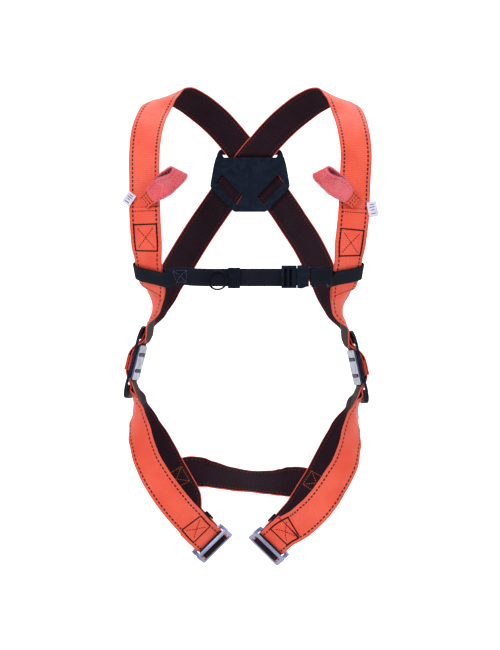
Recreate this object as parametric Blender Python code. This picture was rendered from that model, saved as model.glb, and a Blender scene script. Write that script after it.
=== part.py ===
"""Full-body fall-arrest harness, worn pose, as separate webbing, plastic and steel pieces.

Frame: metres, +Z up, the wearer faces -Y, the wearer's right is -X.  The origin is the middle
of the wearer's body at the height of the shoulder tops.  The tables below are millimetres.
"""
import math

import bmesh
import bpy
from mathutils import Vector

MM = 0.001

# ---- driving dimensions, millimetres -------------------------------------------------
WEB_W = 45.0            # main webbing width
WEB_T = 1.8             # main webbing thickness
CHEST_W = 25.0          # chest webbing width
CHEST_T = 1.4           # chest webbing thickness
LAYER = 2.2             # distance between the middles of two sewn layers
WEB_STEP = 7.0          # length of one facet along a webbing

BACK_INNER_Y = 97.0     # middle of the left shoulder webbing where it crosses the back
BACK_OUTER_Y = 99.2     # middle of the right shoulder webbing there
RING_AXIS = (0.0, 99.9, -92.0)      # dorsal ring hinge axis
RING_BAR_R = 3.5
RING_HALF = 41.5        # half width of the ring to the middle of its rod
RING_LEAN = 20.0        # degrees the hanging ring stands off the vertical
BULGE = [(-104, 0.0), (-100, 1.6), (-96.5, 5.9), (-94.5, 7.9), (-89.5, 7.9), (-87.5, 5.4),
         (-84, 1.0), (-82, 0.0)]    # height, how far the webbing steps round the ring's bar

PLATE_FRONT_Y = 92.2
PLATE_REAR_Y = 95.7
BAND_FRONT_Y = 100.7
BAND_REAR_Y = 103.7
SLOT_TOP_Z = -82.0
SLOT_LOW_Z = -86.2

HIPS = {
    "right": {"centre": (-164.0, -7.0, -388.5), "up": (0.249, 0.0, 0.969), "side": -1},
    "left": {"centre": (155.0, -5.0, -395.6), "up": (-0.2135, 0.0, 0.977), "side": 1},
}
HIP_TWIST = 8.0
PAD_T = 3.6
PAD_HALF_L = 53.5
PAD_HALF_W = 35.0
PAD_SLOT = (18.0, 34.0)             # near and far edge of a pad slot from its middle
PAD_SLOT_HALF_W = 30.5
PAD_CURVE = [(-53.5, -0.6), (-45, 0.0), (-33, 0.6), (-19, 0.4), (0, 0.0), (19, 0.4), (33, 0.6),
             (45, 0.0), (53.5, -0.6)]
STEEL_T = 2.8
STEEL_HALF_L = 25.5
STEEL_HALF_W = 29.0

BUCKLES = {
    "right": {"centre": (-51.0, -15.0, -654.0), "side": 1},
    "left": {"centre": (23.5, -15.0, -657.7), "side": -1},
}
BUCKLE_PLATE = (29.5, 14.5, 3.0)    # half length, half width, thickness
BUCKLE_DROP = 10.0                  # the frame hangs this far behind the plate
BUCKLE_WRAP_R = 3.75                # webbing's middle round the plate's centre bar

STRAP_Y = -126.0                    # chest strap in front of the breastbone
STRAP_Z = -268.0
CHEST_WRAP_Z = {"right": -261.0, "left": -262.0}


# ---- small vector helpers --------------------------------------------------------------
def vec(p):
    return Vector(p)


def local_point(centre, axes, p):
    """World point of local coordinates p in a frame of three axes."""
    return centre + axes[0] * p[0] + axes[1] * p[1] + axes[2] * p[2]


def hip_axes(side):
    """Hip frame: across to the back, up along the pad, out from the body."""
    hip = HIPS[side]
    up = vec(hip["up"]).normalized()
    back = vec((0, 1, 0))
    out = vec((up.z * hip["side"], 0, -up.x * hip["side"])).normalized()
    a = math.radians(HIP_TWIST)
    across = back * math.cos(a) - out * math.sin(a)
    outward = out * math.cos(a) + back * math.sin(a)
    return vec(hip["centre"]), (across.normalized(), up, outward.normalized())


def buckle_axes(side):
    """Leg buckle frame: along the bars, along the webbing to the rear, out of the face."""
    b = BUCKLES[side]
    k = b["side"]
    bars = vec((0.715 * k, 0, 0.70)).normalized()
    run = vec((0.33 * k, 0.885, -0.33))
    run = (run - bars * run.dot(bars)).normalized()
    out = bars.cross(run) * -k
    return vec(b["centre"]), (bars, run, out.normalized())


def interpolate(table, x):
    """Straight-line value of a table of (x, value) pairs."""
    if x <= table[0][0]:
        return table[0][1]
    for (x0, v0), (x1, v1) in zip(table, table[1:]):
        if x <= x1:
            return v0 + (v1 - v0) * (x - x0) / (x1 - x0)
    return table[-1][1]


# ---- webbing: a flat ribbon swept along a route ------------------------------------------
def knot_tangents(points, gaps):
    """Smooth end slopes of each span, weighted by the span lengths."""
    out = []
    for i in range(len(points)):
        if i == 0:
            out.append((points[1] - points[0]) / gaps[0])
        elif i == len(points) - 1:
            out.append((points[-1] - points[-2]) / gaps[-1])
        else:
            a = (points[i] - points[i - 1]) / gaps[i - 1]
            b = (points[i + 1] - points[i]) / gaps[i]
            out.append((b * gaps[i - 1] + a * gaps[i]) / (gaps[i] + gaps[i - 1]))
    return out


def sample_route(stations, step=WEB_STEP):
    """Rows (middle, along, across, out) along stations of (point, across)."""
    points = [vec(s[0]) for s in stations]
    sides = [vec(s[1]).normalized() for s in stations]
    gaps = [max((b - a).length, 1e-6) for a, b in zip(points, points[1:])]
    slopes = knot_tangents(points, gaps)
    rows = []
    for i, gap in enumerate(gaps):
        count = max(1, round(gap / step))
        last = i == len(gaps) - 1
        for j in range(count + (1 if last else 0)):
            t = j / count
            h = (2 * t**3 - 3 * t**2 + 1, t**3 - 2 * t**2 + t, 3 * t**2 - 2 * t**3, t**3 - t**2)
            dh = (6 * t**2 - 6 * t, 3 * t**2 - 4 * t + 1, 6 * t - 6 * t**2, 3 * t**2 - 2 * t)
            p = points[i] * h[0] + slopes[i] * gap * h[1] + points[i + 1] * h[2] \
                + slopes[i + 1] * gap * h[3]
            d = points[i] * dh[0] + slopes[i] * gap * dh[1] + points[i + 1] * dh[2] \
                + slopes[i + 1] * gap * dh[3]
            s = 3 * t**2 - 2 * t**3
            rows.append(make_row(p, d, sides[i].lerp(sides[i + 1], s)))
    return rows


def make_row(point, along, across):
    along = along.normalized()
    across = (across - along * across.dot(along)).normalized()
    return (point, along, across, along.cross(across).normalized())


def offset_rows(rows, distance):
    """The same rows moved out of the webbing's face."""
    return [(p + n * distance, t, w, n) for p, t, w, n in rows]


def ribbon_mesh(rows, width, thick, skew=0.0, narrow=None):
    """Closed ribbon; skew slants the last end, narrow takes width off each row."""
    verts, faces = [], []
    for i, (p, t, w, n) in enumerate(rows):
        for u, q in ((-1, -1), (1, -1), (1, 1), (-1, 1)):
            slant = t * (skew * u) if i == len(rows) - 1 else vec((0, 0, 0))
            half = (width - (narrow[i] if narrow else 0.0)) / 2
            verts.append(p + w * (u * half) + n * (q * thick / 2) + slant)
    for i in range(len(rows) - 1):
        a, b = 4 * i, 4 * i + 4
        for k in range(4):
            m = (k + 1) % 4
            quad = (a + k, a + m, b + m, b + k)
            if k == 2:
                quad = quad[1:] + quad[:1]
            faces.append((quad[0], quad[1], quad[2]))
            faces.append((quad[0], quad[2], quad[3]))
    e = 4 * (len(rows) - 1)
    faces += [(3, 2, 1), (3, 1, 0), (e, e + 1, e + 2), (e, e + 2, e + 3)]
    return verts, faces


def sleeve_mesh(rows, inner, outer, narrow=None):
    """Flat tube, open at both ends, swept along rows; sizes are (width, thickness)."""
    verts, faces = [], []
    corner = ((-1, -1), (1, -1), (1, 1), (-1, 1))
    for i, (p, t, w, n) in enumerate(rows):
        for size in (outer, inner):
            half = (size[0] - (narrow[i] if narrow else 0.0)) / 2
            for u, q in corner:
                verts.append(p + w * (u * half) + n * (q * size[1] / 2))
    for i in range(len(rows) - 1):
        a, b = 8 * i, 8 * i + 8
        for k in range(4):
            m = (k + 1) % 4
            outside = (a + k, a + m, b + m, b + k)
            inside = (a + 4 + k, b + 4 + k, b + 4 + m, a + 4 + m)
            if k == 2:
                outside, inside = outside[1:] + outside[:1], inside[1:] + inside[:1]
            faces.append((outside[0], outside[1], outside[2]))
            faces.append((outside[0], outside[2], outside[3]))
            faces.append((inside[0], inside[1], inside[2]))
            faces.append((inside[0], inside[2], inside[3]))
    e = 8 * (len(rows) - 1)
    for k in range(4):
        m = (k + 1) % 4
        faces.append((m, k, 4 + k, 4 + m))
        faces.append((e + k, e + m, e + 4 + m, e + 4 + k))
    return verts, faces


# ---- solid helpers -------------------------------------------------------------------------
WORLD = (Vector((1, 0, 0)), Vector((0, 1, 0)), Vector((0, 0, 1)))


def box_mesh(centre, axes, half):
    verts = []
    for c in (-1, 1):
        for u, v in ((-1, -1), (1, -1), (1, 1), (-1, 1)):
            verts.append(local_point(vec(centre), axes, (u * half[0], v * half[1], c * half[2])))
    faces = [(3, 2, 1, 0), (4, 5, 6, 7), (0, 1, 5, 4), (1, 2, 6, 5), (2, 3, 7, 6), (3, 0, 4, 7)]
    return verts, faces


def span_box(low, high):
    c = [(a + b) / 2 for a, b in zip(low, high)]
    return box_mesh(c, WORLD, [(b - a) / 2 for a, b in zip(low, high)])


def rounded(half_u, half_v, radius, n=4):
    """Corner-rounded rectangle outline."""
    out = []
    for cx, cy, a0 in ((1, 1, 0), (-1, 1, 90), (-1, -1, 180), (1, -1, 270)):
        for i in range(n + 1):
            a = math.radians(a0 + 90 * i / n)
            out.append((cx * (half_u - radius) + radius * math.cos(a),
                        cy * (half_v - radius) + radius * math.sin(a)))
    return out


def plate_mesh(outline, holes, thick, cuts=(), curve=None):
    """Flat plate with through holes, in local (u, v, w), optionally bent by height v."""
    bm = bmesh.new()
    edges = []
    for loop in [outline] + list(holes):
        ring = [bm.verts.new((u, v, -thick / 2)) for u, v in loop]
        edges += [bm.edges.new((a, b)) for a, b in zip(ring, ring[1:] + ring[:1])]
    bmesh.ops.triangle_fill(bm, edges=edges, use_beauty=True, use_dissolve=False)
    for v in cuts:
        bmesh.ops.bisect_plane(bm, geom=bm.verts[:] + bm.edges[:] + bm.faces[:],
                               plane_co=(0, v, 0), plane_no=(0, 1, 0))
    base = bm.faces[:]
    out = bmesh.ops.extrude_face_region(bm, geom=base)
    top = [g for g in out["geom"] if isinstance(g, bmesh.types.BMVert)]
    for v in top:
        v.co.z += thick
    if curve:
        for v in bm.verts:
            v.co.z += interpolate(curve, v.co.y)
    bmesh.ops.triangulate(bm, faces=bm.faces[:])
    bmesh.ops.recalc_face_normals(bm, faces=bm.faces[:])
    bm.verts.index_update()
    verts = [v.co.copy() for v in bm.verts]
    faces = [tuple(v.index for v in f.verts) for f in bm.faces]
    bm.free()
    return verts, faces


def place(mesh, centre, axes):
    verts, faces = mesh
    return [local_point(centre, axes, v) for v in verts], faces


def tube_mesh(path, radius, sides=10, closed=True):
    """Round rod along a path whose points all lie near one plane."""
    verts, faces = [], []
    n = len(path)
    normal = vec((0, 0, 0))
    for a, b in zip(path, path[1:] + path[:1]):
        normal += a.cross(b)
    normal.normalize()
    for i in range(n):
        before = path[i - 1] if closed or i else path[i]
        after = path[(i + 1) % n] if closed or i < n - 1 else path[i]
        along = (after - before).normalized()
        side = along.cross(normal).normalized()
        for k in range(sides):
            a = 2 * math.pi * k / sides
            verts.append(path[i] + side * (radius * math.cos(a)) + normal * (radius * math.sin(a)))
    spans = n if closed else n - 1
    for i in range(spans):
        for k in range(sides):
            m = (k + 1) % sides
            a, b = i * sides, ((i + 1) % n) * sides
            faces.append((a + k, b + k, b + m, a + m))
    if not closed:
        faces.append(tuple(range(sides)))
        faces.append(tuple(reversed([(n - 1) * sides + k for k in range(sides)])))
    return verts, faces


# ---- objects ----------------------------------------------------------------------------------
def material(name, colour, metallic=0.0, rough=0.6):
    m = bpy.data.materials.new(name)
    m.use_nodes = True
    p = m.node_tree.nodes["Principled BSDF"]
    p.inputs["Base Color"].default_value = (*colour, 1)
    p.inputs["Metallic"].default_value = metallic
    p.inputs["Roughness"].default_value = rough
    return m


LOOKS = {
    "webbing": ((0.93, 0.11, 0.06), 0.0, 0.75),
    "chest_webbing": ((0.012, 0.016, 0.03), 0.0, 0.7),
    "dark_plastic": ((0.012, 0.02, 0.04), 0.0, 0.45),
    "steel": ((0.45, 0.5, 0.62), 1.0, 0.35),
    "sleeve": ((0.93, 0.2, 0.28), 0.0, 0.2),
    "label": ((0.78, 0.76, 0.86), 0.0, 0.6),
}


def to_mesh(name, mesh):
    verts, faces = mesh
    me = bpy.data.meshes.new(name)
    me.from_pydata([tuple(v * MM) for v in verts], [], faces)
    bm = bmesh.new()
    bm.from_mesh(me)
    bmesh.ops.recalc_face_normals(bm, faces=bm.faces[:])
    bm.to_mesh(me)
    bm.free()
    return me


def add(name, mesh, look, pivot=None):
    """One named sub-part with its own material; pivot puts its origin on its joint axis."""
    me = to_mesh(name, mesh)
    ob = bpy.data.objects.new(name, me)
    bpy.context.scene.collection.objects.link(ob)
    colour, metallic, rough = LOOKS[look]
    me.materials.append(material(name + "_" + look, colour, metallic, rough))
    if pivot is not None:
        at = vec(pivot) * MM
        for v in me.vertices:
            v.co -= at
        ob.location = at
    return ob


def join_solids(base, extras, operation="UNION"):
    """Boolean of one mesh with others, returned as plain mesh data in millimetres."""
    ob = bpy.data.objects.new("joined", to_mesh("joined", base))
    bpy.context.scene.collection.objects.link(ob)
    helpers = []
    for i, extra in enumerate(extras):
        other = bpy.data.objects.new("tool_%d" % i, to_mesh("tool", extra))
        bpy.context.scene.collection.objects.link(other)
        helpers.append(other)
        mod = ob.modifiers.new("bool_%d" % i, "BOOLEAN")
        mod.operation = operation
        mod.solver = "EXACT"
        mod.object = other
    done = ob.evaluated_get(bpy.context.evaluated_depsgraph_get()).to_mesh()
    verts = [v.co / MM for v in done.vertices]
    faces = [tuple(f.vertices) for f in done.polygons]
    for o in [ob] + helpers:
        bpy.data.objects.remove(o, do_unlink=True)
    return verts, faces


def step_round_bar(mesh):
    """Fold flat webbing round the dorsal ring's bar along level creases."""
    bm = bmesh.new()
    bv = [bm.verts.new(v) for v in mesh[0]]
    for f in mesh[1]:
        bm.faces.new([bv[i] for i in f])
    for z, _ in BULGE:
        near = [f for f in bm.faces if all(v.co.y > 90 for v in f.verts)]
        geom = set(near)
        for f in near:
            geom.update(f.edges)
            geom.update(f.verts)
        bmesh.ops.bisect_plane(bm, geom=list(geom), plane_co=(0, 0, z), plane_no=(0, 0, 1))
    for v in bm.verts:
        if v.co.y > 90:
            v.co.y += interpolate(BULGE, v.co.z)
    bm.verts.index_update()
    verts = [v.co.copy() for v in bm.verts]
    faces = [tuple(v.index for v in f.verts) for f in bm.faces]
    bm.free()
    return verts, faces


# ---- routes of the main webbing: (middle, direction across) ---------------------------------
HIP_FRONT_UPPER = [(0, -14, 6.0), (0, -5, 6.0), (0, 4, 6.0), (0, 9, 5.9), (0, 14, 5.3), (0, 19, 4.0),
                   (0, 26.5, -1.1), (0, 34, -6.9), (0, 39.5, -8.3), (-6, 48, -8.3),
                   (-21, 66, -8.3)]
HIP_BACK_UPPER = [(0, -14, 10.7), (0, -5, 10.7), (0, 4, 10.7), (0, 9, 10.4), (0, 14, 9.3),
                  (0, 19, 7.0), (0, 26.5, 2.3), (0, 34, -2.7), (0, 39.5, -3.9), (6, 48, -4.0),
                  (18, 64, -4.0)]
HIP_BACK_LOWER = [(0, 8, 3.8), (0, 0, 3.8), (0, -9, 3.8), (0, -14, 3.8), (0, -18, 3.5),
                  (0, -26.5, -1.3), (0, -34, -6.8), (0, -40.5, -11.2), (5.5, -49, -17.0)]
HIP_FRONT_LOWER = [(0, 8, 8.35), (0, 0, 8.35), (0, -9, 8.35), (0, -13.5, 8.2), (0, -18.5, 6.6),
                   (0, -26.5, 1.9), (0, -34, -3.4), (0, -41, -6.0), (-5, -50, -9.0)]

RIGHT_SHOULDER = [
    ((-137.5, -55, -299), (0.36, -0.93, 0.0)),
    ((-139, -78, -274), (0.77, -0.63, -0.09)), ((-143, -96, -247), (0.83, -0.55, -0.12)),
    ((-146, -107, -214), (0.97, -0.22, -0.07)), ((-148, -112, -178), (0.98, -0.19, -0.03)),
    ((-149, -112, -133), (0.96, -0.25, 0.0)), ((-149, -101, -88), (0.96, -0.22, -0.03)),
    ((-146, -81, -57), (0.98, -0.08, -0.03)), ((-137, -52, -29), (0.99, 0.02, 0.06)),
    ((-124, -24, -9), (0.96, -0.14, 0.25)), ((-110, 6, 0), (0.88, -0.24, 0.40)),
    ((-91, 36, -5), (0.76, -0.24, 0.59)), ((-68, 63, -19), (0.69, -0.17, 0.70)),
    ((-45, 84, -38), (0.71, -0.09, 0.70)), ((-30, 94, -54), (0.71, -0.03, 0.70)),
    ((-19, 98.6, -67), (0.71, 0, 0.70)), ((-12, 99.2, -75), (0.71, 0, 0.70)),
    ((1, 99.2, -91), (0.74, 0, 0.67)), ((30, 99.2, -133), (0.81, 0, 0.57)),
    ((46, 99.2, -155), (0.84, 0, 0.54)), ((56, 98.6, -169.5), (0.84, 0, 0.54)),
    ((64, 97, -182), (0.85, 0, 0.53)), ((84, 90, -213), (0.87, -0.05, 0.48)),
    ((99, 76, -243), (0.89, -0.18, 0.38)), ((111, 56, -273), (0.82, -0.52, 0.22)),
    ((121, 34, -305), (0.50, -0.86, 0.03)),
]
LEFT_SHOULDER = [
    ((130, -54, -303), (-0.46, -0.89, 0.0)),
    ((134, -78, -274), (-0.80, -0.59, -0.08)), ((138, -96, -247), (-0.86, -0.50, -0.06)),
    ((142, -107, -215), (-0.98, -0.20, -0.04)), ((146, -112, -177), (-0.98, -0.16, 0.0)),
    ((148, -112, -134), (-0.97, -0.20, -0.02)), ((150, -102, -91), (-0.98, -0.15, -0.03)),
    ((147, -84, -60), (-1.0, -0.02, -0.03)), ((141, -58, -34), (-0.99, 0.03, 0.04)),
    ((129, -28, -11), (-0.94, -0.18, 0.28)), ((114, 5, -1), (-0.84, -0.26, 0.45)),
    ((93, 35, -7), (-0.76, -0.24, 0.58)), ((71, 61, -20), (-0.70, -0.17, 0.69)),
    ((46, 82, -40), (-0.70, -0.09, 0.71)), ((30, 92, -56), (-0.70, -0.03, 0.71)),
    ((18.5, 96.4, -69), (-0.70, 0, 0.71)), ((12, 97, -76), (-0.70, 0, 0.71)),
    ((-1, 97, -92), (-0.73, 0, 0.68)), ((-32, 97, -134), (-0.81, 0, 0.58)),
    ((-46, 97, -154), (-0.84, 0, 0.54)), ((-56, 96.4, -168.5), (-0.85, 0, 0.52)),
    ((-64, 95, -180), (-0.87, 0, 0.49)), ((-84, 87, -211), (-0.90, -0.05, 0.42)),
    ((-104, 73, -245), (-0.93, -0.22, 0.26)), ((-121, 53, -276), (-0.80, -0.58, 0.10)),
    ((-131, 32, -303), (-0.48, -0.87, -0.06)),
]
RIGHT_THIGH_FRONT = [
    ((-167, -20, -449.5), (0.18, -0.98, 0.05)),
    ((-163, -33, -469), (0.52, -0.84, 0.10)), ((-157, -50, -497), (0.75, -0.64, 0.16)),
    ((-148, -60, -526), (0.82, -0.49, 0.29)), ((-133, -66, -554), (0.80, -0.31, 0.50)),
    ((-115, -68, -580), (0.76, -0.20, 0.62)), ((-101, -64, -598), (0.74, -0.16, 0.66)),
    ((-87, -55, -614), (0.73, -0.10, 0.68)),
]
LEFT_THIGH_FRONT = [
    ((155, -18, -457), (-0.19, -0.98, 0.05)),
    ((149, -33, -478), (-0.48, -0.87, 0.10)),
    ((144.5, -49, -503), (-0.68, -0.72, 0.14)), ((136, -61, -533), (-0.79, -0.53, 0.30)),
    ((120, -67, -561), (-0.78, -0.36, 0.51)), ((107, -68, -581), (-0.76, -0.25, 0.60)),
    ((94, -65, -597), (-0.75, -0.18, 0.63)), ((83, -59, -608), (-0.74, -0.10, 0.67)),
    ((72, -50.5, -618.5), (-0.73, -0.05, 0.68)),
]
RIGHT_THIGH_BACK = [
    ((-156, 9, -459), (-0.25, -0.91, -0.33)),
    ((-148, 35, -487), (-0.66, -0.50, -0.56)), ((-136, 52, -509), (-0.80, -0.30, -0.52)),
    ((-124.5, 59.5, -532), (-0.86, -0.06, -0.50)), ((-121, 60, -539), (-0.87, 0, -0.49)),
    ((-110, 60, -558.5), (-0.87, 0, -0.49)), ((-99, 60, -578), (-0.86, 0, -0.51)),
    ((-95.5, 59.3, -584), (-0.84, 0.02, -0.54)),
]
LEFT_THIGH_BACK = [
    ((145, 11, -466), (0.25, -0.91, -0.33)),
    ((133, 37, -496), (0.68, -0.45, -0.58)), ((120, 53, -524), (0.82, -0.24, -0.52)),
    ((108.5, 59.6, -548), (0.87, -0.05, -0.50)), ((105, 60, -555), (0.87, 0, -0.50)),
    ((91.5, 60, -577), (0.86, 0, -0.52)), ((78, 60, -599), (0.85, 0, -0.53)),
    ((74.5, 59.2, -604.5), (0.83, 0.02, -0.55)),
]
SEAT_Y = 62.6
SEAT = [
    ((-117.5, SEAT_Y, -562.5), (0.49, 0, -0.87)), ((-104, SEAT_Y, -555.5), (0.48, 0, -0.87)),
    ((-90, SEAT_Y + 1.5, -550.5), (0.40, 0, -0.91)), ((-74, SEAT_Y + 6.0, -551.5), (0.22, -0.13, -0.96)),
    ((-58, 71.5, -555.0), (0.12, -0.48, -0.87)), ((-30, 75.5, -561.5), (0.05, -0.66, -0.75)),
    ((2, 78, -566), (0, -0.74, -0.67)), ((30, 75.5, -567.5), (-0.03, -0.66, -0.75)),
    ((44, 72.5, -567), (-0.07, -0.50, -0.86)), ((58, SEAT_Y + 6.5, -566), (-0.18, -0.13, -0.97)),
    ((74, SEAT_Y + 1.5, -566), (-0.30, 0, -0.95)), ((88, SEAT_Y, -569.5), (-0.42, 0, -0.91)),
    ((101, SEAT_Y, -576), (-0.48, 0, -0.88)),
]


def hip_stations(side, table):
    """Stations in the hip frame, all with the webbing's width lying across the pad."""
    centre, axes = hip_axes(side)
    return [(local_point(centre, axes, p), -axes[0]) for p in table]


def shoulder_rows(side):
    """One webbing from its own hip's front, over the shoulder, to the other hip's back."""
    other = "left" if side == "right" else "right"
    table = RIGHT_SHOULDER if side == "right" else LEFT_SHOULDER
    route = hip_stations(side, HIP_FRONT_UPPER) + table \
        + list(reversed(hip_stations(other, HIP_BACK_UPPER)))
    return sample_route(route)


def add_shoulder_strap(side, rows):
    mesh = ribbon_mesh(rows, WEB_W, WEB_T)
    add("shoulder_strap_" + side, step_round_bar(mesh), "webbing")


def outward_sign(row):
    """+1 when the row's face direction points away from the wearer's chest."""
    return 1.0 if row[3].y < 0 else -1.0


def nearest_row(rows, z, front=True):
    pool = [r for r in rows if (r[0].y < 0) == front and r[0].z > -340]
    return min(pool, key=lambda r: abs(r[0].z - z))


# ---- dorsal plate and ring ----------------------------------------------------------------------
PLATE_HALF = [(43, -73.5), (46.5, -75.5), (48.2, -79), (50.8, -86.2), (54, -98), (58.6, -124),
              (59, -128.5), (57.5, -132.5), (25.5, -165), (22.5, -167)]


def mirror_outline(half):
    return half + [(-x, z) for x, z in reversed(half)]


def slice_outline(outline, low, high):
    """Part of a convex outline between two heights."""
    out = []
    n = len(outline)
    for i in range(n):
        a, b = outline[i], outline[(i + 1) % n]
        if low <= a[1] <= high:
            out.append(a)
        crossing = [z for z in (low, high) if (a[1] - z) * (b[1] - z) < 0]
        crossing.sort(key=lambda z: abs(z - a[1]))
        for z in crossing:
            t = (z - a[1]) / (b[1] - a[1])
            out.append((a[0] + t * (b[0] - a[0]), z))
    return out


def xz_plate(outline, holes, y0, y1):
    """Plate in the X-Z plane between two depths."""
    mesh = plate_mesh(outline, holes, y1 - y0)
    axes = (Vector((1, 0, 0)), Vector((0, 0, 1)), Vector((0, -1, 0)))
    return place(mesh, vec((0, (y0 + y1) / 2, 0)), axes)


def window(side):
    """Diagonal window that shows the webbing behind the plate."""
    pts = [(41.6, -111.3), (50.2, -123.6), (19.9, -155.8), (11.3, -142.8)]
    return [(x * side, z) for x, z in pts]


def add_dorsal_plate():
    outline = mirror_outline(PLATE_HALF)
    face = xz_plate(slice_outline(outline, -170, SLOT_LOW_Z), [window(1), window(-1)],
                    PLATE_FRONT_Y, PLATE_REAR_Y)
    band = xz_plate(slice_outline(outline, SLOT_TOP_Z, -70), [], BAND_FRONT_Y, BAND_REAR_Y)
    extras = [band]
    for k in (-1, 1):
        ends = [(46.6, -79.6), (47.9, -79.6), (50.2, -86.0), (52.4, -93), (53.6, -98), (46.6, -98)]
        shoulder = [(42.6, -79.8), (47.5, -79.8), (49.5, -86.4), (38.4, -86.4)]
        for part in (ends, shoulder):
            extras.append(xz_plate([(x * k, z) for x, z in part], [], PLATE_FRONT_Y + 0.4,
                                   BAND_REAR_Y - 0.4))
        along = vec((0.82 * k, 0, 0.57)).normalized()
        down = vec((0.57 * k, 0, -0.82)).normalized()
        mid = vec((30.0 * k, 0, -134.0))
        back = vec((0, 1, 0))
        axes = (along, back, down)
        extras.append(box_mesh(mid + back * 102.2, axes, (27.5, 1.5, 4)))
        for end in (-1, 1):
            at = mid + along * (25.9 * end)
            extras.append(box_mesh(at + back * 98.4, axes, (1.55, 4.6, 3.6)))
    add("dorsal_plate", join_solids(face, extras), "dark_plastic")


def ring_path():
    """D ring: straight hinge bar, short legs, half-round bow, hanging and leaning back."""
    flat = []
    n = 8
    r = 6.0
    for k, a0 in ((1, 90), (-1, 180)):
        arc = [(k * (RING_HALF - r), -r)]
        for i in range(n // 2 + 1):
            a = math.radians(a0 - 90 * i / (n // 2)) if k > 0 else \
                math.radians(a0 - 90 * i / (n // 2))
            flat.append((arc[0][0] + r * math.cos(a), arc[0][1] + r * math.sin(a)))
        if k > 0:
            flat.append((RING_HALF, -13.0))
            for i in range(1, 16):
                a = math.pi * i / 16
                flat.append((RING_HALF * math.cos(a), -14.0 - 39.0 * math.sin(a)))
            flat.append((-RING_HALF, -13.0))
    lean = math.radians(RING_LEAN)
    base = vec(RING_AXIS)
    return [base + vec((x, -z * math.sin(lean), z * math.cos(lean))) for x, z in flat]


def add_dorsal_ring():
    add("dorsal_ring", tube_mesh(ring_path(), RING_BAR_R, 12), "steel", RING_AXIS)


# ---- hip pads and steel plates --------------------------------------------------------------------
def pad_outline():
    half = [(PAD_HALF_W, 0), (PAD_HALF_W, 38), (33.5, 45), (28, 50.5), (20, PAD_HALF_L)]
    right = [(u, -v) for u, v in reversed(half[1:])] + half
    return right + [(-u, v) for u, v in reversed(right)]


def add_hip(side):
    centre, axes = hip_axes(side)
    near, far = PAD_SLOT
    slots = []
    for k in (-1, 1):
        slot = rounded(PAD_SLOT_HALF_W, (far - near) / 2, 3, 3)
        slots.append([(u, v + k * (near + far) / 2) for u, v in slot])
    cuts = [v for v, _ in PAD_CURVE][1:-1]
    pad = place(plate_mesh(pad_outline(), slots, PAD_T, cuts, PAD_CURVE), centre, axes)
    lugs = [box_mesh(local_point(centre, axes, (0, 12.0 * k, -3.4)), axes, (20, 1.9, 2.4))
            for k in (-1, 1)]
    add("hip_pad_" + side, join_solids(pad, lugs), "dark_plastic")
    holes = [[(u, v + 12.0 * k) for u, v in rounded(23.5, 2.7, 1.2, 2)] for k in (-1, 1)]
    steel = plate_mesh(rounded(STEEL_HALF_W, STEEL_HALF_L, 4, 4), holes, STEEL_T)
    at = local_point(centre, axes, (0, 0, -PAD_T / 2 - 0.4 - STEEL_T / 2))
    add("hip_plate_" + side, place(steel, at, axes), "steel")


# ---- leg loops ----------------------------------------------------------------------------------------
def buckle_stations(side, points, across):
    """Stations given as (along webbing, out of face) in the buckle frame."""
    centre, axes = buckle_axes(side)
    return [(local_point(centre, axes, (0, s, n)), across) for s, n in points]


FRAME_BAR_S = -14.0
FRONT_LOOP = [(-36.6, -15.9), (-27, -11.4), (-20.5, -8.0), (-14.5, -6.7), (-11, -7.0),
              (-9.0, -8.3), (-8.4, -10), (-9.0, -11.7), (-11, -13.0), (-14.5, -13.4),
              (-20.5, -14.4), (-27, -16.0), (-36.6, -20.0), (-44, -23.8), (-50, -27.0)]
BACK_MAIN = [(27.2, -75), (20.3, -52), (13.1, -28), (9.6, -20), (4.2, -13.8), (-1.0, -9.0),
             (-3.75, -4.0)]
BACK_TAIL = [(3.9, -4.0), (5.3, -9.0), (8.2, -14.2), (12.8, -20.5), (15.7, -27.2),
             (22.9, -51.2), (25.6, -60.2)]


def add_thigh_front(side):
    table = RIGHT_THIGH_FRONT if side == "right" else LEFT_THIGH_FRONT
    centre, axes = buckle_axes(side)
    route = hip_stations(side, HIP_FRONT_LOWER) + table \
        + buckle_stations(side, FRONT_LOOP, axes[0])
    add("thigh_front_strap_" + side, ribbon_mesh(sample_route(route), WEB_W, WEB_T), "webbing")


def thigh_back_rows(side):
    table = RIGHT_THIGH_BACK if side == "right" else LEFT_THIGH_BACK
    centre, axes = buckle_axes(side)
    arc = [(-BUCKLE_WRAP_R * math.cos(math.radians(a)), BUCKLE_WRAP_R * math.sin(math.radians(a)))
           for a in range(0, 181, 30)]
    route = hip_stations(side, HIP_BACK_LOWER) + table \
        + buckle_stations(side, BACK_MAIN + arc + BACK_TAIL, -axes[0])
    return sample_route(route)


def add_leg_buckle(side):
    centre, axes = buckle_axes(side)
    half_l, half_w, thick = BUCKLE_PLATE
    holes = [[(u, v + 5.6 * k) for u, v in rounded(24, 3.6, 1.0, 2)] for k in (-1, 1)]
    plate = plate_mesh(rounded(half_l, half_w, 4, 4), holes, thick)
    add("leg_buckle_plate_" + side, place(plate, centre, axes), "steel", centre)
    hole = [(u, v - 0.8) for u, v in rounded(24.2, 10.2, 2, 3)]
    body = plate_mesh([(u, v - 1.0) for u, v in rounded(half_l, 16, 4, 4)], [hole], 3.4)
    at = local_point(centre, axes, (0, 0, -BUCKLE_DROP))
    add("leg_buckle_frame_" + side, place(body, at, axes), "steel")


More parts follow.
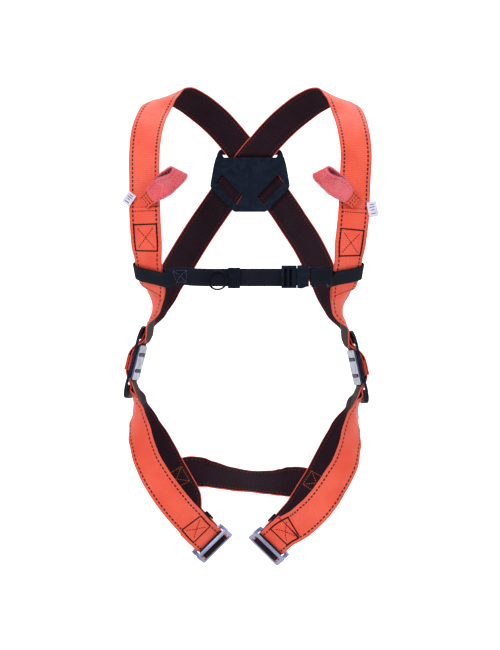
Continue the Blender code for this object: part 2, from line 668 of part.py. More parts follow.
def add_keeper(side):
    """Band round the two strands of the back thigh webbing."""
    centre, axes = buckle_axes(side)
    along = (axes[1] * 0.29 - axes[2] * 0.957).normalized()
    mid = local_point(centre, axes, (0, 21.6, -51.6))
    rows = [make_row(mid + along * s, along, axes[0]) for s in (-6, 6)]
    add("leg_strap_keeper_" + side, sleeve_mesh(rows, (47.0, 6.0), (50.0, 9.0)), "dark_plastic",
        mid)


def add_seat_strap():
    add("seat_strap", ribbon_mesh(sample_route(SEAT), WEB_W, WEB_T), "webbing")


# ---- sternal loops ----------------------------------------------------------------------------------------
LOOP_PATH = [(0.6, -1.35), (8, -1.8), (16, -2.9), (26, -4.8), (40, -7.6), (52, -9.2), (60.5, -9.0),
             (66.6, -7.0), (70.6, -3.9), (72, 0), (70.6, 3.9), (66.6, 7.0), (60.5, 9.0), (52, 9.2),
             (40, 7.6), (26, 4.8), (16, 2.9), (8, 1.8), (0.6, 1.35)]


def loop_frame(side):
    """Root, run direction, width direction at the root and at the tip."""
    k = -1 if side == "right" else 1
    root = vec((150 * k, -117.6, -163))
    run = vec((-0.72 * k, -0.35, 0.60)).normalized()
    return root, run, vec((-0.75 * k, -0.2, -0.62)), vec((-0.40 * k, 0.85, -0.42))


def loop_rows(side, path, step=WEB_STEP):
    root, run, wide0, wide1 = loop_frame(side)
    stations = []
    for e, f in path:
        t = min(1.0, max(0.0, (e - 15) / 45.0))
        wide = wide0.lerp(wide1, t * t * (3 - 2 * t))
        wide = (wide - run * wide.dot(run)).normalized()
        face = run.cross(wide) * (-1 if side == "right" else 1)
        stations.append((root + run * e + face * f, wide))
    return sample_route(stations, step)


def loop_narrow(side, rows):
    """How much the gathered root of the loop takes off the webbing's width."""
    root, run, _, _ = loop_frame(side)
    out = []
    for row in rows:
        t = min(1.0, max(0.0, ((row[0] - root).dot(run) - 3.0) / 44.0))
        out.append(WEB_W * 0.58 * (1 - t * t * (3 - 2 * t)))
    return out


# x, z, turn (degrees), half width, half height, distance in front of the strap's middle
TAGS = {"right": (-169.0, -156.5, -37.0, 6.5, 9.0, 5.6),
        "left": (172.0, -170.0, 15.0, 7.0, 11.0, 4.4)}


def tag_frame(side, strap_rows):
    """Middle, axes and half sizes of a tag on a shoulder strap's outer edge."""
    x, z, turn, wide, high, lift = TAGS[side]
    row = nearest_row(strap_rows, z)
    out = row[3] * outward_sign(row)
    across = row[2] if row[2].x > 0 else -row[2]
    up = across.cross(out) * (1 if across.cross(out).z > 0 else -1)
    at = row[0] + across * ((x - row[0].x) / across.x) + up * (z - row[0].z) + out * lift
    c, s = math.cos(math.radians(turn)), math.sin(math.radians(turn))
    return at, (across * c + up * s, up * c - across * s, out), (wide, high, 0.45)


def add_sternal_loop(side, strap_rows):
    root, run, wide0, _ = loop_frame(side)
    rows = loop_rows(side, LOOP_PATH, 5.0)
    add("sternal_loop_" + side, ribbon_mesh(rows, WEB_W, WEB_T, narrow=loop_narrow(side, rows)),
        "webbing", root)
    rows = loop_rows(side, LOOP_PATH[2:-2], 5.0)
    add("sternal_sleeve_" + side,
        sleeve_mesh(rows, (46.2, 2.7), (47.8, 4.3), loop_narrow(side, rows)), "sleeve", root)
    sign = outward_sign(nearest_row(strap_rows, -200))
    part = [r for r in strap_rows if r[0].y < 0 and -296 < r[0].z < -168]
    rows = offset_rows(part[:-3] + part[-1:], sign * (LAYER + 0.3))
    add("sternal_patch_" + side, ribbon_mesh(rows, WEB_W, WEB_T, -12.5), "webbing")
    at, axes, half = tag_frame(side, strap_rows)
    add("loop_label_" + side, box_mesh(at, axes, half), "label")


# ---- chest strap ---------------------------------------------------------------------------------------------
def chest_wrap(side, rows):
    """Stations round a shoulder strap and its sewn-on layer, from its inner edge in front."""
    p, t, w, n = nearest_row(rows, CHEST_WRAP_Z[side])
    out = n * outward_sign((p, t, w, n))
    down = t if t.z < 0 else -t
    front, rear = 5.8, -3.6
    mid, r = (front + rear) / 2, (front - rear) / 2
    path = [(27, front - 0.3), (12, front), (-22.5, front)]
    for a in (30, 60, 90, 120, 150):
        path.append((-22.5 - r * math.sin(math.radians(a)), mid + r * math.cos(math.radians(a))))
    path += [(-22.5, rear), (18, rear), (27, rear + 1.2)]
    return [(p + w * a + out * b, down) for a, b in path]


def chest_tail(stations, count, gap):
    """Folded-back end lying behind the first stations of a strap."""
    rows = sample_route(stations, 9.0)
    back = [(p + (n if n.y > 0 else -n) * gap, w) for p, t, w, n in rows]
    return back[:count]


def add_chest_long(rows):
    down = vec((0, 0, -1))
    main = [((61, STRAP_Y, STRAP_Z), down), ((20, STRAP_Y, STRAP_Z), down),
            ((-20, STRAP_Y, STRAP_Z), down), ((-62, STRAP_Y, STRAP_Z), down),
            ((-80, -124.3, -267.4), down), ((-100, -117.5, -266), vec((0, 0.2, -0.98)))]
    wrap = chest_wrap("right", rows)
    tail = chest_tail([wrap[0]] + list(reversed(main[3:])), 5, 1.9)
    route = main + wrap + tail[1:]
    add("chest_strap_long", ribbon_mesh(sample_route(route, 9.0), CHEST_W, CHEST_T),
        "chest_webbing")


SOCKET_BAR = (88.3, -130.0)


def add_chest_short(rows):
    down = vec((0, 0, -1))
    bx, by = SOCKET_BAR
    r = 3.7
    turn = [((bx - r * math.sin(math.radians(a)), by - r * math.cos(math.radians(a)), -267),
             down) for a in (30, 60, 90, 120, 150)]
    main = [((bx + 1, by - r, -267), down), ((94, -131.2, -266.8), down),
            ((102, -127.4, -266), down), ((112, -123.2, -265), vec((0, 0.1, -1)))]
    wrap = chest_wrap("left", rows)
    inner = [((bx + 1, by + r, -267), down), ((94, -127.6, -266.8), down),
             ((102.8, -124.6, -266), down), ((110, -121.8, -265.2), down)]
    tail = chest_tail([wrap[0], main[3], main[2]], 2, 1.9)
    route = list(reversed(inner)) + list(reversed(turn)) + main + wrap + tail[1:2]
    add("chest_strap_short", ribbon_mesh(sample_route(route, 9.0), CHEST_W, CHEST_T),
        "chest_webbing")


def add_chest_buckle():
    z = STRAP_Z + 0.8
    plug = span_box((44, -132, z - 16), (65.5, -127.3, z + 16))
    cuts = [span_box((47.6, -140, z - 13.2), (51.8, -120, z + 11.6)),
            span_box((55.2, -140, z - 13.2), (58.8, -120, z + 11.6))]
    rails = [span_box((44.3, -129, z + k * 14.75 - 1.2), (51.7, -122.4, z + k * 14.75 + 1.2))
             for k in (-1, 1)]
    bar = span_box((45.5, -124.6, z - 15.4), (49.5, -122.5, z + 15.4))
    prongs = [span_box((65, -131.4, z - 11.2), (79.5, -128.2, z - 7.2)),
              span_box((65, -131.4, z + 7.2), (79.5, -128.2, z + 11.2)),
              span_box((65, -131.0, z - 1.6), (78.0, -128.6, z + 1.6)),
              span_box((65, -130.8, z - 12.0), (69.6, -128.8, z + 12.0))]
    body = join_solids(plug, cuts, "DIFFERENCE")
    add("chest_buckle_plug", join_solids(body, rails + [bar] + prongs), "dark_plastic",
        (44, -130, z))
    half = [(66.2, 16), (73, 16.6), (79, 14.2), (84, 13.6), (90.2, 15.4)]
    outline = [(x, z + h) for x, h in half] + [(x, z - h) for x, h in reversed(half)]
    shell = xz_plate(outline, [], -134.4, -125.6)
    hollow = span_box((60, -132.2, z - 12.6), (81.0, -127.4, z + 12.6))
    sides = span_box((71.5, -131.8, z - 20), (77.5, -127.8, z + 20))
    slot = span_box((82.6, -140, z - 13.3), (86.5, -120, z + 13.3))
    near = span_box((86, -136, z - 13.3), (92, -131.6, z + 13.3))
    far = span_box((86, -128.4, z - 13.3), (92, -120, z + 13.3))
    add("chest_buckle_socket", join_solids(shell, [hollow, sides, slot, near, far], "DIFFERENCE"),
        "dark_plastic")


def add_parking_ring():
    """Clip round the chest strap with a break-away ring for a lanyard's free end."""
    x0, x1 = -31.0, -14.0
    outer = span_box((x0, -130.2, STRAP_Z - 15.4), (x1, -122.2, STRAP_Z + 13.8))
    hole = span_box((x0 - 5, -127.6, STRAP_Z - 13.3), (x1 + 5, -124.4, STRAP_Z + 13.3))
    low = span_box((x0 - 5, -127.6, STRAP_Z - 13.3), (x1 + 5, -124.4, STRAP_Z + 12.6))
    clip = join_solids(outer, [hole], "DIFFERENCE")
    ring = [vec((-45.5 + 13.0 * math.cos(a), -131.4, -272.0 + 13.0 * math.sin(a)))
            for a in [2 * math.pi * i / 28 for i in range(28)]]
    neck = span_box((-34.2, -132.4, -275.5), (-29.5, -129.6, -268.5))
    ribs = [span_box((x, -131.2, STRAP_Z - 13.5), (x + 1.4, -129.8, STRAP_Z + 12.0))
            for x in (-28.5, -25.9, -20.6, -18.0)]
    mesh = join_solids(clip, [tube_mesh(ring, 1.35, 10), neck] + ribs)
    add("lanyard_parking_ring", mesh, "dark_plastic", (-22.5, STRAP_Y, STRAP_Z))


# ---- build ------------------------------------------------------------------------------------------------------
def build():
    for ob in list(bpy.data.objects):
        bpy.data.objects.remove(ob, do_unlink=True)
    rows = {side: shoulder_rows(side) for side in ("right", "left")}
    for side in ("right", "left"):
        add_shoulder_strap(side, rows[side])
        add_sternal_loop(side, rows[side])
        add_hip(side)
        add_thigh_front(side)
        add("thigh_back_strap_" + side, ribbon_mesh(thigh_back_rows(side), WEB_W, WEB_T),
            "webbing")
        add_leg_buckle(side)
        add_keeper(side)
    add_dorsal_plate()
    add_dorsal_ring()
    add_seat_strap()
    add_chest_long(rows["right"])
    add_chest_short(rows["left"])
    add_chest_buckle()
    add_parking_ring()


build()
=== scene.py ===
"""Looks of a full-body safety harness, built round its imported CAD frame.

Lengths in the route tables are millimetres; MM turns them into metres.
"""
import math

import bpy
import bmesh
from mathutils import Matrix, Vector


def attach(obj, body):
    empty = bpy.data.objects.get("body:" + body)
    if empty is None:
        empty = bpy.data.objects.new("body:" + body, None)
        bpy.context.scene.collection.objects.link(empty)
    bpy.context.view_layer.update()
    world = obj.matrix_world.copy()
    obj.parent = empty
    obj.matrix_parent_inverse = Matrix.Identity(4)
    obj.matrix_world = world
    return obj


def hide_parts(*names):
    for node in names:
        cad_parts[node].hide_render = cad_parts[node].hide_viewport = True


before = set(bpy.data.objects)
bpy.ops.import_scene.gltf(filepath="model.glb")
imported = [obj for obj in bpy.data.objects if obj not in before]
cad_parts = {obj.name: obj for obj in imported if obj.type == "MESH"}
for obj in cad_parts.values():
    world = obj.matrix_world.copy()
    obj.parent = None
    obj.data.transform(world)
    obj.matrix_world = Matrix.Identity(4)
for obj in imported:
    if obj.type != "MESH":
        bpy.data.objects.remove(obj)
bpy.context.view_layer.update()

MM = 0.001
SIDES = ("right", "left")

WEB_W = 45.0            # main webbing width
WEB_T = 1.8             # main webbing thickness
CHEST_W = 25.0          # chest webbing width
CHEST_T = 1.4           # chest webbing thickness
LAYER = 2.2             # distance between the middles of two sewn layers
WEB_STEP = 3.0          # row spacing along a webbing
HARNESS = "harness"     # the body that all fixed pieces ride on

CAMERA_AWAY = 4.0       # metres from the middle of the body
CAMERA_Z = -0.3348
VIEW_WIDTH = 0.725      # metres seen across the picture at the middle of the body
FLOOR_Z = -1.6          # where the wearer's feet would stand

RING_AXIS = (0.0, 99.9, -92.0)      # dorsal ring hinge axis
RING_BAR_R = 3.5
RING_HALF = 41.5        # half width of the ring to the middle of its rod
RING_LEAN = 20.0        # degrees the hanging ring stands off the vertical
BULGE = [(-104, 0.0), (-100, 1.6), (-96.5, 5.9), (-94.5, 7.9), (-89.5, 7.9), (-87.5, 5.4),
         (-84, 1.0), (-82, 0.0)]    # height, how far the webbing steps round the ring's bar

PLATE_FRONT_Y = 92.2

HIPS = {
    "right": {"centre": (-164.0, -7.0, -388.5), "up": (0.249, 0.0, 0.969), "side": -1},
    "left": {"centre": (155.0, -5.0, -395.6), "up": (-0.2135, 0.0, 0.977), "side": 1},
}
HIP_TWIST = 8.0

BUCKLES = {
    "right": {"centre": (-51.0, -15.0, -654.0), "side": 1},
    "left": {"centre": (23.5, -15.0, -657.7), "side": -1},
}
BUCKLE_WRAP_R = 3.75                # webbing's middle round the plate's centre bar

STRAP_Y = -126.0                    # chest strap in front of the breastbone
STRAP_Z = -268.0
CHEST_WRAP_Z = {"right": -261.0, "left": -262.0}


# ---- small vector helpers ----
def vec(p):
    return Vector(p)


def local_point(centre, axes, p):
    """World point of local coordinates p in a frame of three axes."""
    return centre + axes[0] * p[0] + axes[1] * p[1] + axes[2] * p[2]


def hip_axes(side):
    """Hip frame: across to the back, up along the pad, out from the body."""
    hip = HIPS[side]
    up = vec(hip["up"]).normalized()
    back = vec((0, 1, 0))
    out = vec((up.z * hip["side"], 0, -up.x * hip["side"])).normalized()
    a = math.radians(HIP_TWIST)
    across = back * math.cos(a) - out * math.sin(a)
    outward = out * math.cos(a) + back * math.sin(a)
    return vec(hip["centre"]), (across.normalized(), up, outward.normalized())


def buckle_axes(side):
    """Leg buckle frame: along the bars, along the webbing to the rear, out of the face."""
    b = BUCKLES[side]
    k = b["side"]
    bars = vec((0.715 * k, 0, 0.70)).normalized()
    run = vec((0.33 * k, 0.885, -0.33))
    run = (run - bars * run.dot(bars)).normalized()
    out = bars.cross(run) * -k
    return vec(b["centre"]), (bars, run, out.normalized())


def interpolate(table, x):
    """Straight-line value of a table of (x, value) pairs."""
    if x <= table[0][0]:
        return table[0][1]
    for (x0, v0), (x1, v1) in zip(table, table[1:]):
        if x <= x1:
            return v0 + (v1 - v0) * (x - x0) / (x1 - x0)
    return table[-1][1]


# ---- webbing: a flat ribbon swept along a route ------------------------------------------
def knot_tangents(points, gaps):
    """Smooth end slopes of each span, weighted by the span lengths."""
    out = []
    for i in range(len(points)):
        if i == 0:
            out.append((points[1] - points[0]) / gaps[0])
        elif i == len(points) - 1:
            out.append((points[-1] - points[-2]) / gaps[-1])
        else:
            a = (points[i] - points[i - 1]) / gaps[i - 1]
            b = (points[i + 1] - points[i]) / gaps[i]
            out.append((b * gaps[i - 1] + a * gaps[i]) / (gaps[i] + gaps[i - 1]))
    return out


def sample_route(stations, step=WEB_STEP):
    """Rows (middle, along, across, out) along stations of (point, across)."""
    points = [vec(s[0]) for s in stations]
    sides = [vec(s[1]).normalized() for s in stations]
    gaps = [max((b - a).length, 1e-6) for a, b in zip(points, points[1:])]
    slopes = knot_tangents(points, gaps)
    rows = []
    for i, gap in enumerate(gaps):
        count = max(1, round(gap / step))
        last = i == len(gaps) - 1
        for j in range(count + (1 if last else 0)):
            t = j / count
            h = (2 * t**3 - 3 * t**2 + 1, t**3 - 2 * t**2 + t, 3 * t**2 - 2 * t**3, t**3 - t**2)
            dh = (6 * t**2 - 6 * t, 3 * t**2 - 4 * t + 1, 6 * t - 6 * t**2, 3 * t**2 - 2 * t)
            p = points[i] * h[0] + slopes[i] * gap * h[1] + points[i + 1] * h[2] \
                + slopes[i + 1] * gap * h[3]
            d = points[i] * dh[0] + slopes[i] * gap * dh[1] + points[i + 1] * dh[2] \
                + slopes[i + 1] * gap * dh[3]
            s = 3 * t**2 - 2 * t**3
            rows.append(make_row(p, d, sides[i].lerp(sides[i + 1], s)))
    return rows


def make_row(point, along, across):
    along = along.normalized()
    across = (across - along * across.dot(along)).normalized()
    return (point, along, across, along.cross(across).normalized())


def offset_rows(rows, distance):
    """The same rows moved out of the webbing's face."""
    return [(p + n * distance, t, w, n) for p, t, w, n in rows]


# ---- routes of the main webbing: (middle, direction across) ----
HIP_FRONT_UPPER = [(0, -14, 6.0), (0, -5, 6.0), (0, 4, 6.0), (0, 9, 5.9), (0, 14, 5.3), (0, 19, 4.0),
                   (0, 26.5, -1.1), (0, 34, -6.9), (0, 39.5, -8.3), (-6, 48, -8.3),
                   (-21, 66, -8.3)]
HIP_BACK_UPPER = [(0, -14, 10.7), (0, -5, 10.7), (0, 4, 10.7), (0, 9, 10.4), (0, 14, 9.3),
                  (0, 19, 7.0), (0, 26.5, 2.3), (0, 34, -2.7), (0, 39.5, -3.9), (6, 48, -4.0),
                  (18, 64, -4.0)]
HIP_BACK_LOWER = [(0, 8, 3.8), (0, 0, 3.8), (0, -9, 3.8), (0, -14, 3.8), (0, -18, 3.5),
                  (0, -26.5, -1.3), (0, -34, -6.8), (0, -40.5, -11.2), (5.5, -49, -17.0)]
HIP_FRONT_LOWER = [(0, 8, 8.35), (0, 0, 8.35), (0, -9, 8.35), (0, -13.5, 8.2), (0, -18.5, 6.6),
                   (0, -26.5, 1.9), (0, -34, -3.4), (0, -41, -6.0), (-5, -50, -9.0)]

RIGHT_SHOULDER = [
    ((-137.5, -55, -299), (0.36, -0.93, 0.0)),
    ((-139, -78, -274), (0.77, -0.63, -0.09)), ((-143, -96, -247), (0.83, -0.55, -0.12)),
    ((-146, -107, -214), (0.97, -0.22, -0.07)), ((-148, -112, -178), (0.98, -0.19, -0.03)),
    ((-149, -112, -133), (0.96, -0.25, 0.0)), ((-149, -101, -88), (0.96, -0.22, -0.03)),
    ((-146, -81, -57), (0.98, -0.08, -0.03)), ((-137, -52, -29), (0.99, 0.02, 0.06)),
    ((-124, -24, -9), (0.96, -0.14, 0.25)), ((-110, 6, 0), (0.88, -0.24, 0.40)),
    ((-91, 36, -5), (0.76, -0.24, 0.59)), ((-68, 63, -19), (0.69, -0.17, 0.70)),
    ((-45, 84, -38), (0.71, -0.09, 0.70)), ((-30, 94, -54), (0.71, -0.03, 0.70)),
    ((-19, 98.6, -67), (0.71, 0, 0.70)), ((-12, 99.2, -75), (0.71, 0, 0.70)),
    ((1, 99.2, -91), (0.74, 0, 0.67)), ((30, 99.2, -133), (0.81, 0, 0.57)),
    ((46, 99.2, -155), (0.84, 0, 0.54)), ((56, 98.6, -169.5), (0.84, 0, 0.54)),
    ((64, 97, -182), (0.85, 0, 0.53)), ((84, 90, -213), (0.87, -0.05, 0.48)),
    ((99, 76, -243), (0.89, -0.18, 0.38)), ((111, 56, -273), (0.82, -0.52, 0.22)),
    ((121, 34, -305), (0.50, -0.86, 0.03)),
]
LEFT_SHOULDER = [
    ((130, -54, -303), (-0.46, -0.89, 0.0)),
    ((134, -78, -274), (-0.80, -0.59, -0.08)), ((138, -96, -247), (-0.86, -0.50, -0.06)),
    ((142, -107, -215), (-0.98, -0.20, -0.04)), ((146, -112, -177), (-0.98, -0.16, 0.0)),
    ((148, -112, -134), (-0.97, -0.20, -0.02)), ((150, -102, -91), (-0.98, -0.15, -0.03)),
    ((147, -84, -60), (-1.0, -0.02, -0.03)), ((141, -58, -34), (-0.99, 0.03, 0.04)),
    ((129, -28, -11), (-0.94, -0.18, 0.28)), ((114, 5, -1), (-0.84, -0.26, 0.45)),
    ((93, 35, -7), (-0.76, -0.24, 0.58)), ((71, 61, -20), (-0.70, -0.17, 0.69)),
    ((46, 82, -40), (-0.70, -0.09, 0.71)), ((30, 92, -56), (-0.70, -0.03, 0.71)),
    ((18.5, 96.4, -69), (-0.70, 0, 0.71)), ((12, 97, -76), (-0.70, 0, 0.71)),
    ((-1, 97, -92), (-0.73, 0, 0.68)), ((-32, 97, -134), (-0.81, 0, 0.58)),
    ((-46, 97, -154), (-0.84, 0, 0.54)), ((-56, 96.4, -168.5), (-0.85, 0, 0.52)),
    ((-64, 95, -180), (-0.87, 0, 0.49)), ((-84, 87, -211), (-0.90, -0.05, 0.42)),
    ((-104, 73, -245), (-0.93, -0.22, 0.26)), ((-121, 53, -276), (-0.80, -0.58, 0.10)),
    ((-131, 32, -303), (-0.48, -0.87, -0.06)),
]
RIGHT_THIGH_FRONT = [
    ((-167, -20, -449.5), (0.18, -0.98, 0.05)),
    ((-163, -33, -469), (0.52, -0.84, 0.10)), ((-157, -50, -497), (0.75, -0.64, 0.16)),
    ((-148, -60, -526), (0.82, -0.49, 0.29)), ((-133, -66, -554), (0.80, -0.31, 0.50)),
    ((-115, -68, -580), (0.76, -0.20, 0.62)), ((-101, -64, -598), (0.74, -0.16, 0.66)),
    ((-87, -55, -614), (0.73, -0.10, 0.68)),
]
LEFT_THIGH_FRONT = [
    ((155, -18, -457), (-0.19, -0.98, 0.05)),
    ((149, -33, -478), (-0.48, -0.87, 0.10)),
    ((144.5, -49, -503), (-0.68, -0.72, 0.14)), ((136, -61, -533), (-0.79, -0.53, 0.30)),
    ((120, -67, -561), (-0.78, -0.36, 0.51)), ((107, -68, -581), (-0.76, -0.25, 0.60)),
    ((94, -65, -597), (-0.75, -0.18, 0.63)), ((83, -59, -608), (-0.74, -0.10, 0.67)),
    ((72, -50.5, -618.5), (-0.73, -0.05, 0.68)),
]
RIGHT_THIGH_BACK = [
    ((-156, 9, -459), (-0.25, -0.91, -0.33)),
    ((-148, 35, -487), (-0.66, -0.50, -0.56)), ((-136, 52, -509), (-0.80, -0.30, -0.52)),
    ((-124.5, 59.5, -532), (-0.86, -0.06, -0.50)), ((-121, 60, -539), (-0.87, 0, -0.49)),
    ((-110, 60, -558.5), (-0.87, 0, -0.49)), ((-99, 60, -578), (-0.86, 0, -0.51)),
    ((-95.5, 59.3, -584), (-0.84, 0.02, -0.54)),
]
LEFT_THIGH_BACK = [
    ((145, 11, -466), (0.25, -0.91, -0.33)),
    ((133, 37, -496), (0.68, -0.45, -0.58)), ((120, 53, -524), (0.82, -0.24, -0.52)),
    ((108.5, 59.6, -548), (0.87, -0.05, -0.50)), ((105, 60, -555), (0.87, 0, -0.50)),
    ((91.5, 60, -577), (0.86, 0, -0.52)), ((78, 60, -599), (0.85, 0, -0.53)),
    ((74.5, 59.2, -604.5), (0.83, 0.02, -0.55)),
]
SEAT_Y = 62.6
SEAT = [
    ((-117.5, SEAT_Y, -562.5), (0.49, 0, -0.87)), ((-104, SEAT_Y, -555.5), (0.48, 0, -0.87)),
    ((-90, SEAT_Y + 1.5, -550.5), (0.40, 0, -0.91)), ((-74, SEAT_Y + 6.0, -551.5), (0.22, -0.13, -0.96)),
    ((-58, 71.5, -555.0), (0.12, -0.48, -0.87)), ((-30, 75.5, -561.5), (0.05, -0.66, -0.75)),
    ((2, 78, -566), (0, -0.74, -0.67)), ((30, 75.5, -567.5), (-0.03, -0.66, -0.75)),
    ((44, 72.5, -567), (-0.07, -0.50, -0.86)), ((58, SEAT_Y + 6.5, -566), (-0.18, -0.13, -0.97)),
    ((74, SEAT_Y + 1.5, -566), (-0.30, 0, -0.95)), ((88, SEAT_Y, -569.5), (-0.42, 0, -0.91)),
    ((101, SEAT_Y, -576), (-0.48, 0, -0.88)),
]


def hip_stations(side, table):
    """Stations in the hip frame, all with the webbing's width lying across the pad."""
    centre, axes = hip_axes(side)
    return [(local_point(centre, axes, p), -axes[0]) for p in table]


def shoulder_rows(side):
    """One webbing from its own hip's front, over the shoulder, to the other hip's back."""
    other, table = ("left", RIGHT_SHOULDER) if side == "right" else ("right", LEFT_SHOULDER)
    route = hip_stations(side, HIP_FRONT_UPPER) + table \
        + list(reversed(hip_stations(other, HIP_BACK_UPPER)))
    return sample_route(route)


def outward_sign(row):
    """+1 when the row's face direction points away from the wearer's chest."""
    return 1.0 if row[3].y < 0 else -1.0


def nearest_row(rows, z, front=True):
    pool = [r for r in rows if (r[0].y < 0) == front and r[0].z > -340]
    return min(pool, key=lambda r: abs(r[0].z - z))


def buckle_stations(side, points, across):
    """Stations given as (along webbing, out of face) in the buckle frame."""
    centre, axes = buckle_axes(side)
    return [(local_point(centre, axes, (0, s, n)), across) for s, n in points]


FRONT_LOOP = [(-36.6, -15.9), (-27, -11.4), (-20.5, -8.0), (-14.5, -6.7), (-11, -7.0),
              (-9.0, -8.3), (-8.4, -10), (-9.0, -11.7), (-11, -13.0), (-14.5, -13.4),
              (-20.5, -14.4), (-27, -16.0), (-36.6, -20.0), (-44, -23.8), (-50, -27.0)]
BACK_MAIN = [(27.2, -75), (20.3, -52), (13.1, -28), (9.6, -20), (4.2, -13.8), (-1.0, -9.0),
             (-3.75, -4.0)]
BACK_TAIL = [(3.9, -4.0), (5.3, -9.0), (8.2, -14.2), (12.8, -20.5), (15.7, -27.2),
             (22.9, -51.2), (25.6, -60.2)]


def thigh_front_rows(side):
    table = RIGHT_THIGH_FRONT if side == "right" else LEFT_THIGH_FRONT
    turns = buckle_stations(side, FRONT_LOOP, buckle_axes(side)[1][0])
    return sample_route(hip_stations(side, HIP_FRONT_LOWER) + table + turns)


def thigh_back_rows(side):
    table = RIGHT_THIGH_BACK if side == "right" else LEFT_THIGH_BACK
    arc = [(-BUCKLE_WRAP_R * math.cos(math.radians(a)), BUCKLE_WRAP_R * math.sin(math.radians(a)))
           for a in range(0, 181, 30)]
    turns = buckle_stations(side, BACK_MAIN + arc + BACK_TAIL, -buckle_axes(side)[1][0])
    return sample_route(hip_stations(side, HIP_BACK_LOWER) + table + turns)


# The sternal loop's (distance from its root, height of its layer), flatter and slimmer than the CAD's.
LOOP_STEP = 1.6         # row spacing along it
LOOP_TWIST_FROM = 12.0  # where its width starts to turn, and over what distance it does
LOOP_TWIST_OVER = 56.0
LOOP_GATHER_OVER = 44.0
ROOT_GATHER = 0.58      # share of the webbing's width taken off at the root, and given back by the tip
TIP_RELEASE = 0.30
LOOP_PATH = [(0.6, -1.35), (8, -1.8), (16, -2.5), (26, -3.3), (40, -4.4), (52, -5.3), (61, -5.6),
             (66.8, -4.9), (70.6, -2.9), (72, 0), (70.6, 2.9), (66.8, 4.9), (61, 5.6), (52, 5.3),
             (40, 4.4), (26, 3.3), (16, 2.5), (8, 1.8), (0.6, 1.35)]


MIRROR = {"right": -1, "left": 1}


def loop_frame(side):
    """Root, run direction, width direction at the root and at the tip."""
    k = MIRROR[side]
    root = vec((150 * k, -117.6, -163))
    run = vec((-0.72 * k, -0.35, 0.60)).normalized()
    return root, run, vec((-0.75 * k, -0.2, -0.62)), vec((-0.40 * k, 0.85, -0.42))


def loop_rows(side, path, step):
    root, run, wide0, wide1 = loop_frame(side)
    stations = []
    for e, f in path:
        t = min(1.0, max(0.0, (e - LOOP_TWIST_FROM) / LOOP_TWIST_OVER))
        wide = wide0.lerp(wide1, t * t * (3 - 2 * t))
        wide = (wide - run * wide.dot(run)).normalized()
        face = run.cross(wide) * MIRROR[side]
        stations.append((root + run * e + face * f, wide))
    return sample_route(stations, step)


def loop_narrow(side, rows):
    """How much the gathered loop takes off the webbing's width at each row."""
    root, run, _, _ = loop_frame(side)
    out = []
    for row in rows:
        t = min(1.0, max(0.0, ((row[0] - root).dot(run) - 3.0) / LOOP_GATHER_OVER))
        out.append(WEB_W * (ROOT_GATHER - TIP_RELEASE * t * t * (3 - 2 * t)))
    return out


# x, z, turn (degrees), half width, half height, distance in front of the strap's middle
TAGS = {"right": (-169.0, -156.5, -37.0, 6.5, 9.0, 5.6),
        "left": (172.0, -170.0, 15.0, 7.0, 11.0, 4.4)}


def tag_frame(side, strap_rows):
    """Middle, axes and half sizes of a tag on a shoulder strap's outer edge."""
    x, z, turn, wide, high, lift = TAGS[side]
    row = nearest_row(strap_rows, z)
    out = row[3] * outward_sign(row)
    across = row[2] if row[2].x > 0 else -row[2]
    up = across.cross(out) * (1 if across.cross(out).z > 0 else -1)
    at = row[0] + across * ((x - row[0].x) / across.x) + up * (z - row[0].z) + out * lift
    c, s = math.cos(math.radians(turn)), math.sin(math.radians(turn))
    return at, (across * c + up * s, up * c - across * s, out), (wide, high, 0.45)


def chest_wrap(side, rows):
    """Stations round a shoulder strap and its sewn-on layer, from its inner edge in front."""
    p, t, w, n = nearest_row(rows, CHEST_WRAP_Z[side])
    out = n * outward_sign((p, t, w, n))
    down = t if t.z < 0 else -t
    front, rear = 5.8, -3.6
    mid, r = (front + rear) / 2, (front - rear) / 2
    path = [(27, front - 0.3), (12, front), (-22.5, front)]
    for a in (30, 60, 90, 120, 150):
        path.append((-22.5 - r * math.sin(math.radians(a)), mid + r * math.cos(math.radians(a))))
    path += [(-22.5, rear), (18, rear), (27, rear + 1.2)]
    return [(p + w * a + out * b, down) for a, b in path]


def chest_tail(stations, count, gap):
    """Folded-back end lying behind the first stations of a strap."""
    rows = sample_route(stations, 9.0)
    back = [(p + (n if n.y > 0 else -n) * gap, w) for p, _, w, n in rows]
    return back[:count]


def chest_long_rows(rows):
    down = vec((0, 0, -1))
    main = [((61, STRAP_Y, STRAP_Z), down), ((20, STRAP_Y, STRAP_Z), down),
            ((-20, STRAP_Y, STRAP_Z), down), ((-62, STRAP_Y, STRAP_Z), down),
            ((-80, -124.3, -267.4), down), ((-100, -117.5, -266), vec((0, 0.2, -0.98)))]
    wrap = chest_wrap("right", rows)
    tail = chest_tail([wrap[0]] + list(reversed(main[3:])), 5, 1.9)
    route = main + wrap + tail[1:]
    return sample_route(route, 2.5)


SOCKET_BAR = (88.3, -130.0)


def chest_short_rows(rows):
    down = vec((0, 0, -1))
    bx, by = SOCKET_BAR
    r = 3.7
    turn = [((bx - r * math.sin(math.radians(a)), by - r * math.cos(math.radians(a)), -267),
             down) for a in (30, 60, 90, 120, 150)]
    main = [((bx + 1, by - r, -267), down), ((94, -131.2, -266.8), down),
            ((102, -127.4, -266), down), ((112, -123.2, -265), vec((0, 0.1, -1)))]
    wrap = chest_wrap("left", rows)
    inner = [((bx + 1, by + r, -267), down), ((94, -127.6, -266.8), down),
             ((102.8, -124.6, -266), down), ((110, -121.8, -265.2), down)]
    tail = chest_tail([wrap[0], main[3], main[2]], 2, 1.9)
    route = list(reversed(inner)) + list(reversed(turn)) + main + wrap + tail[1:2]
    return sample_route(route, 2.5)


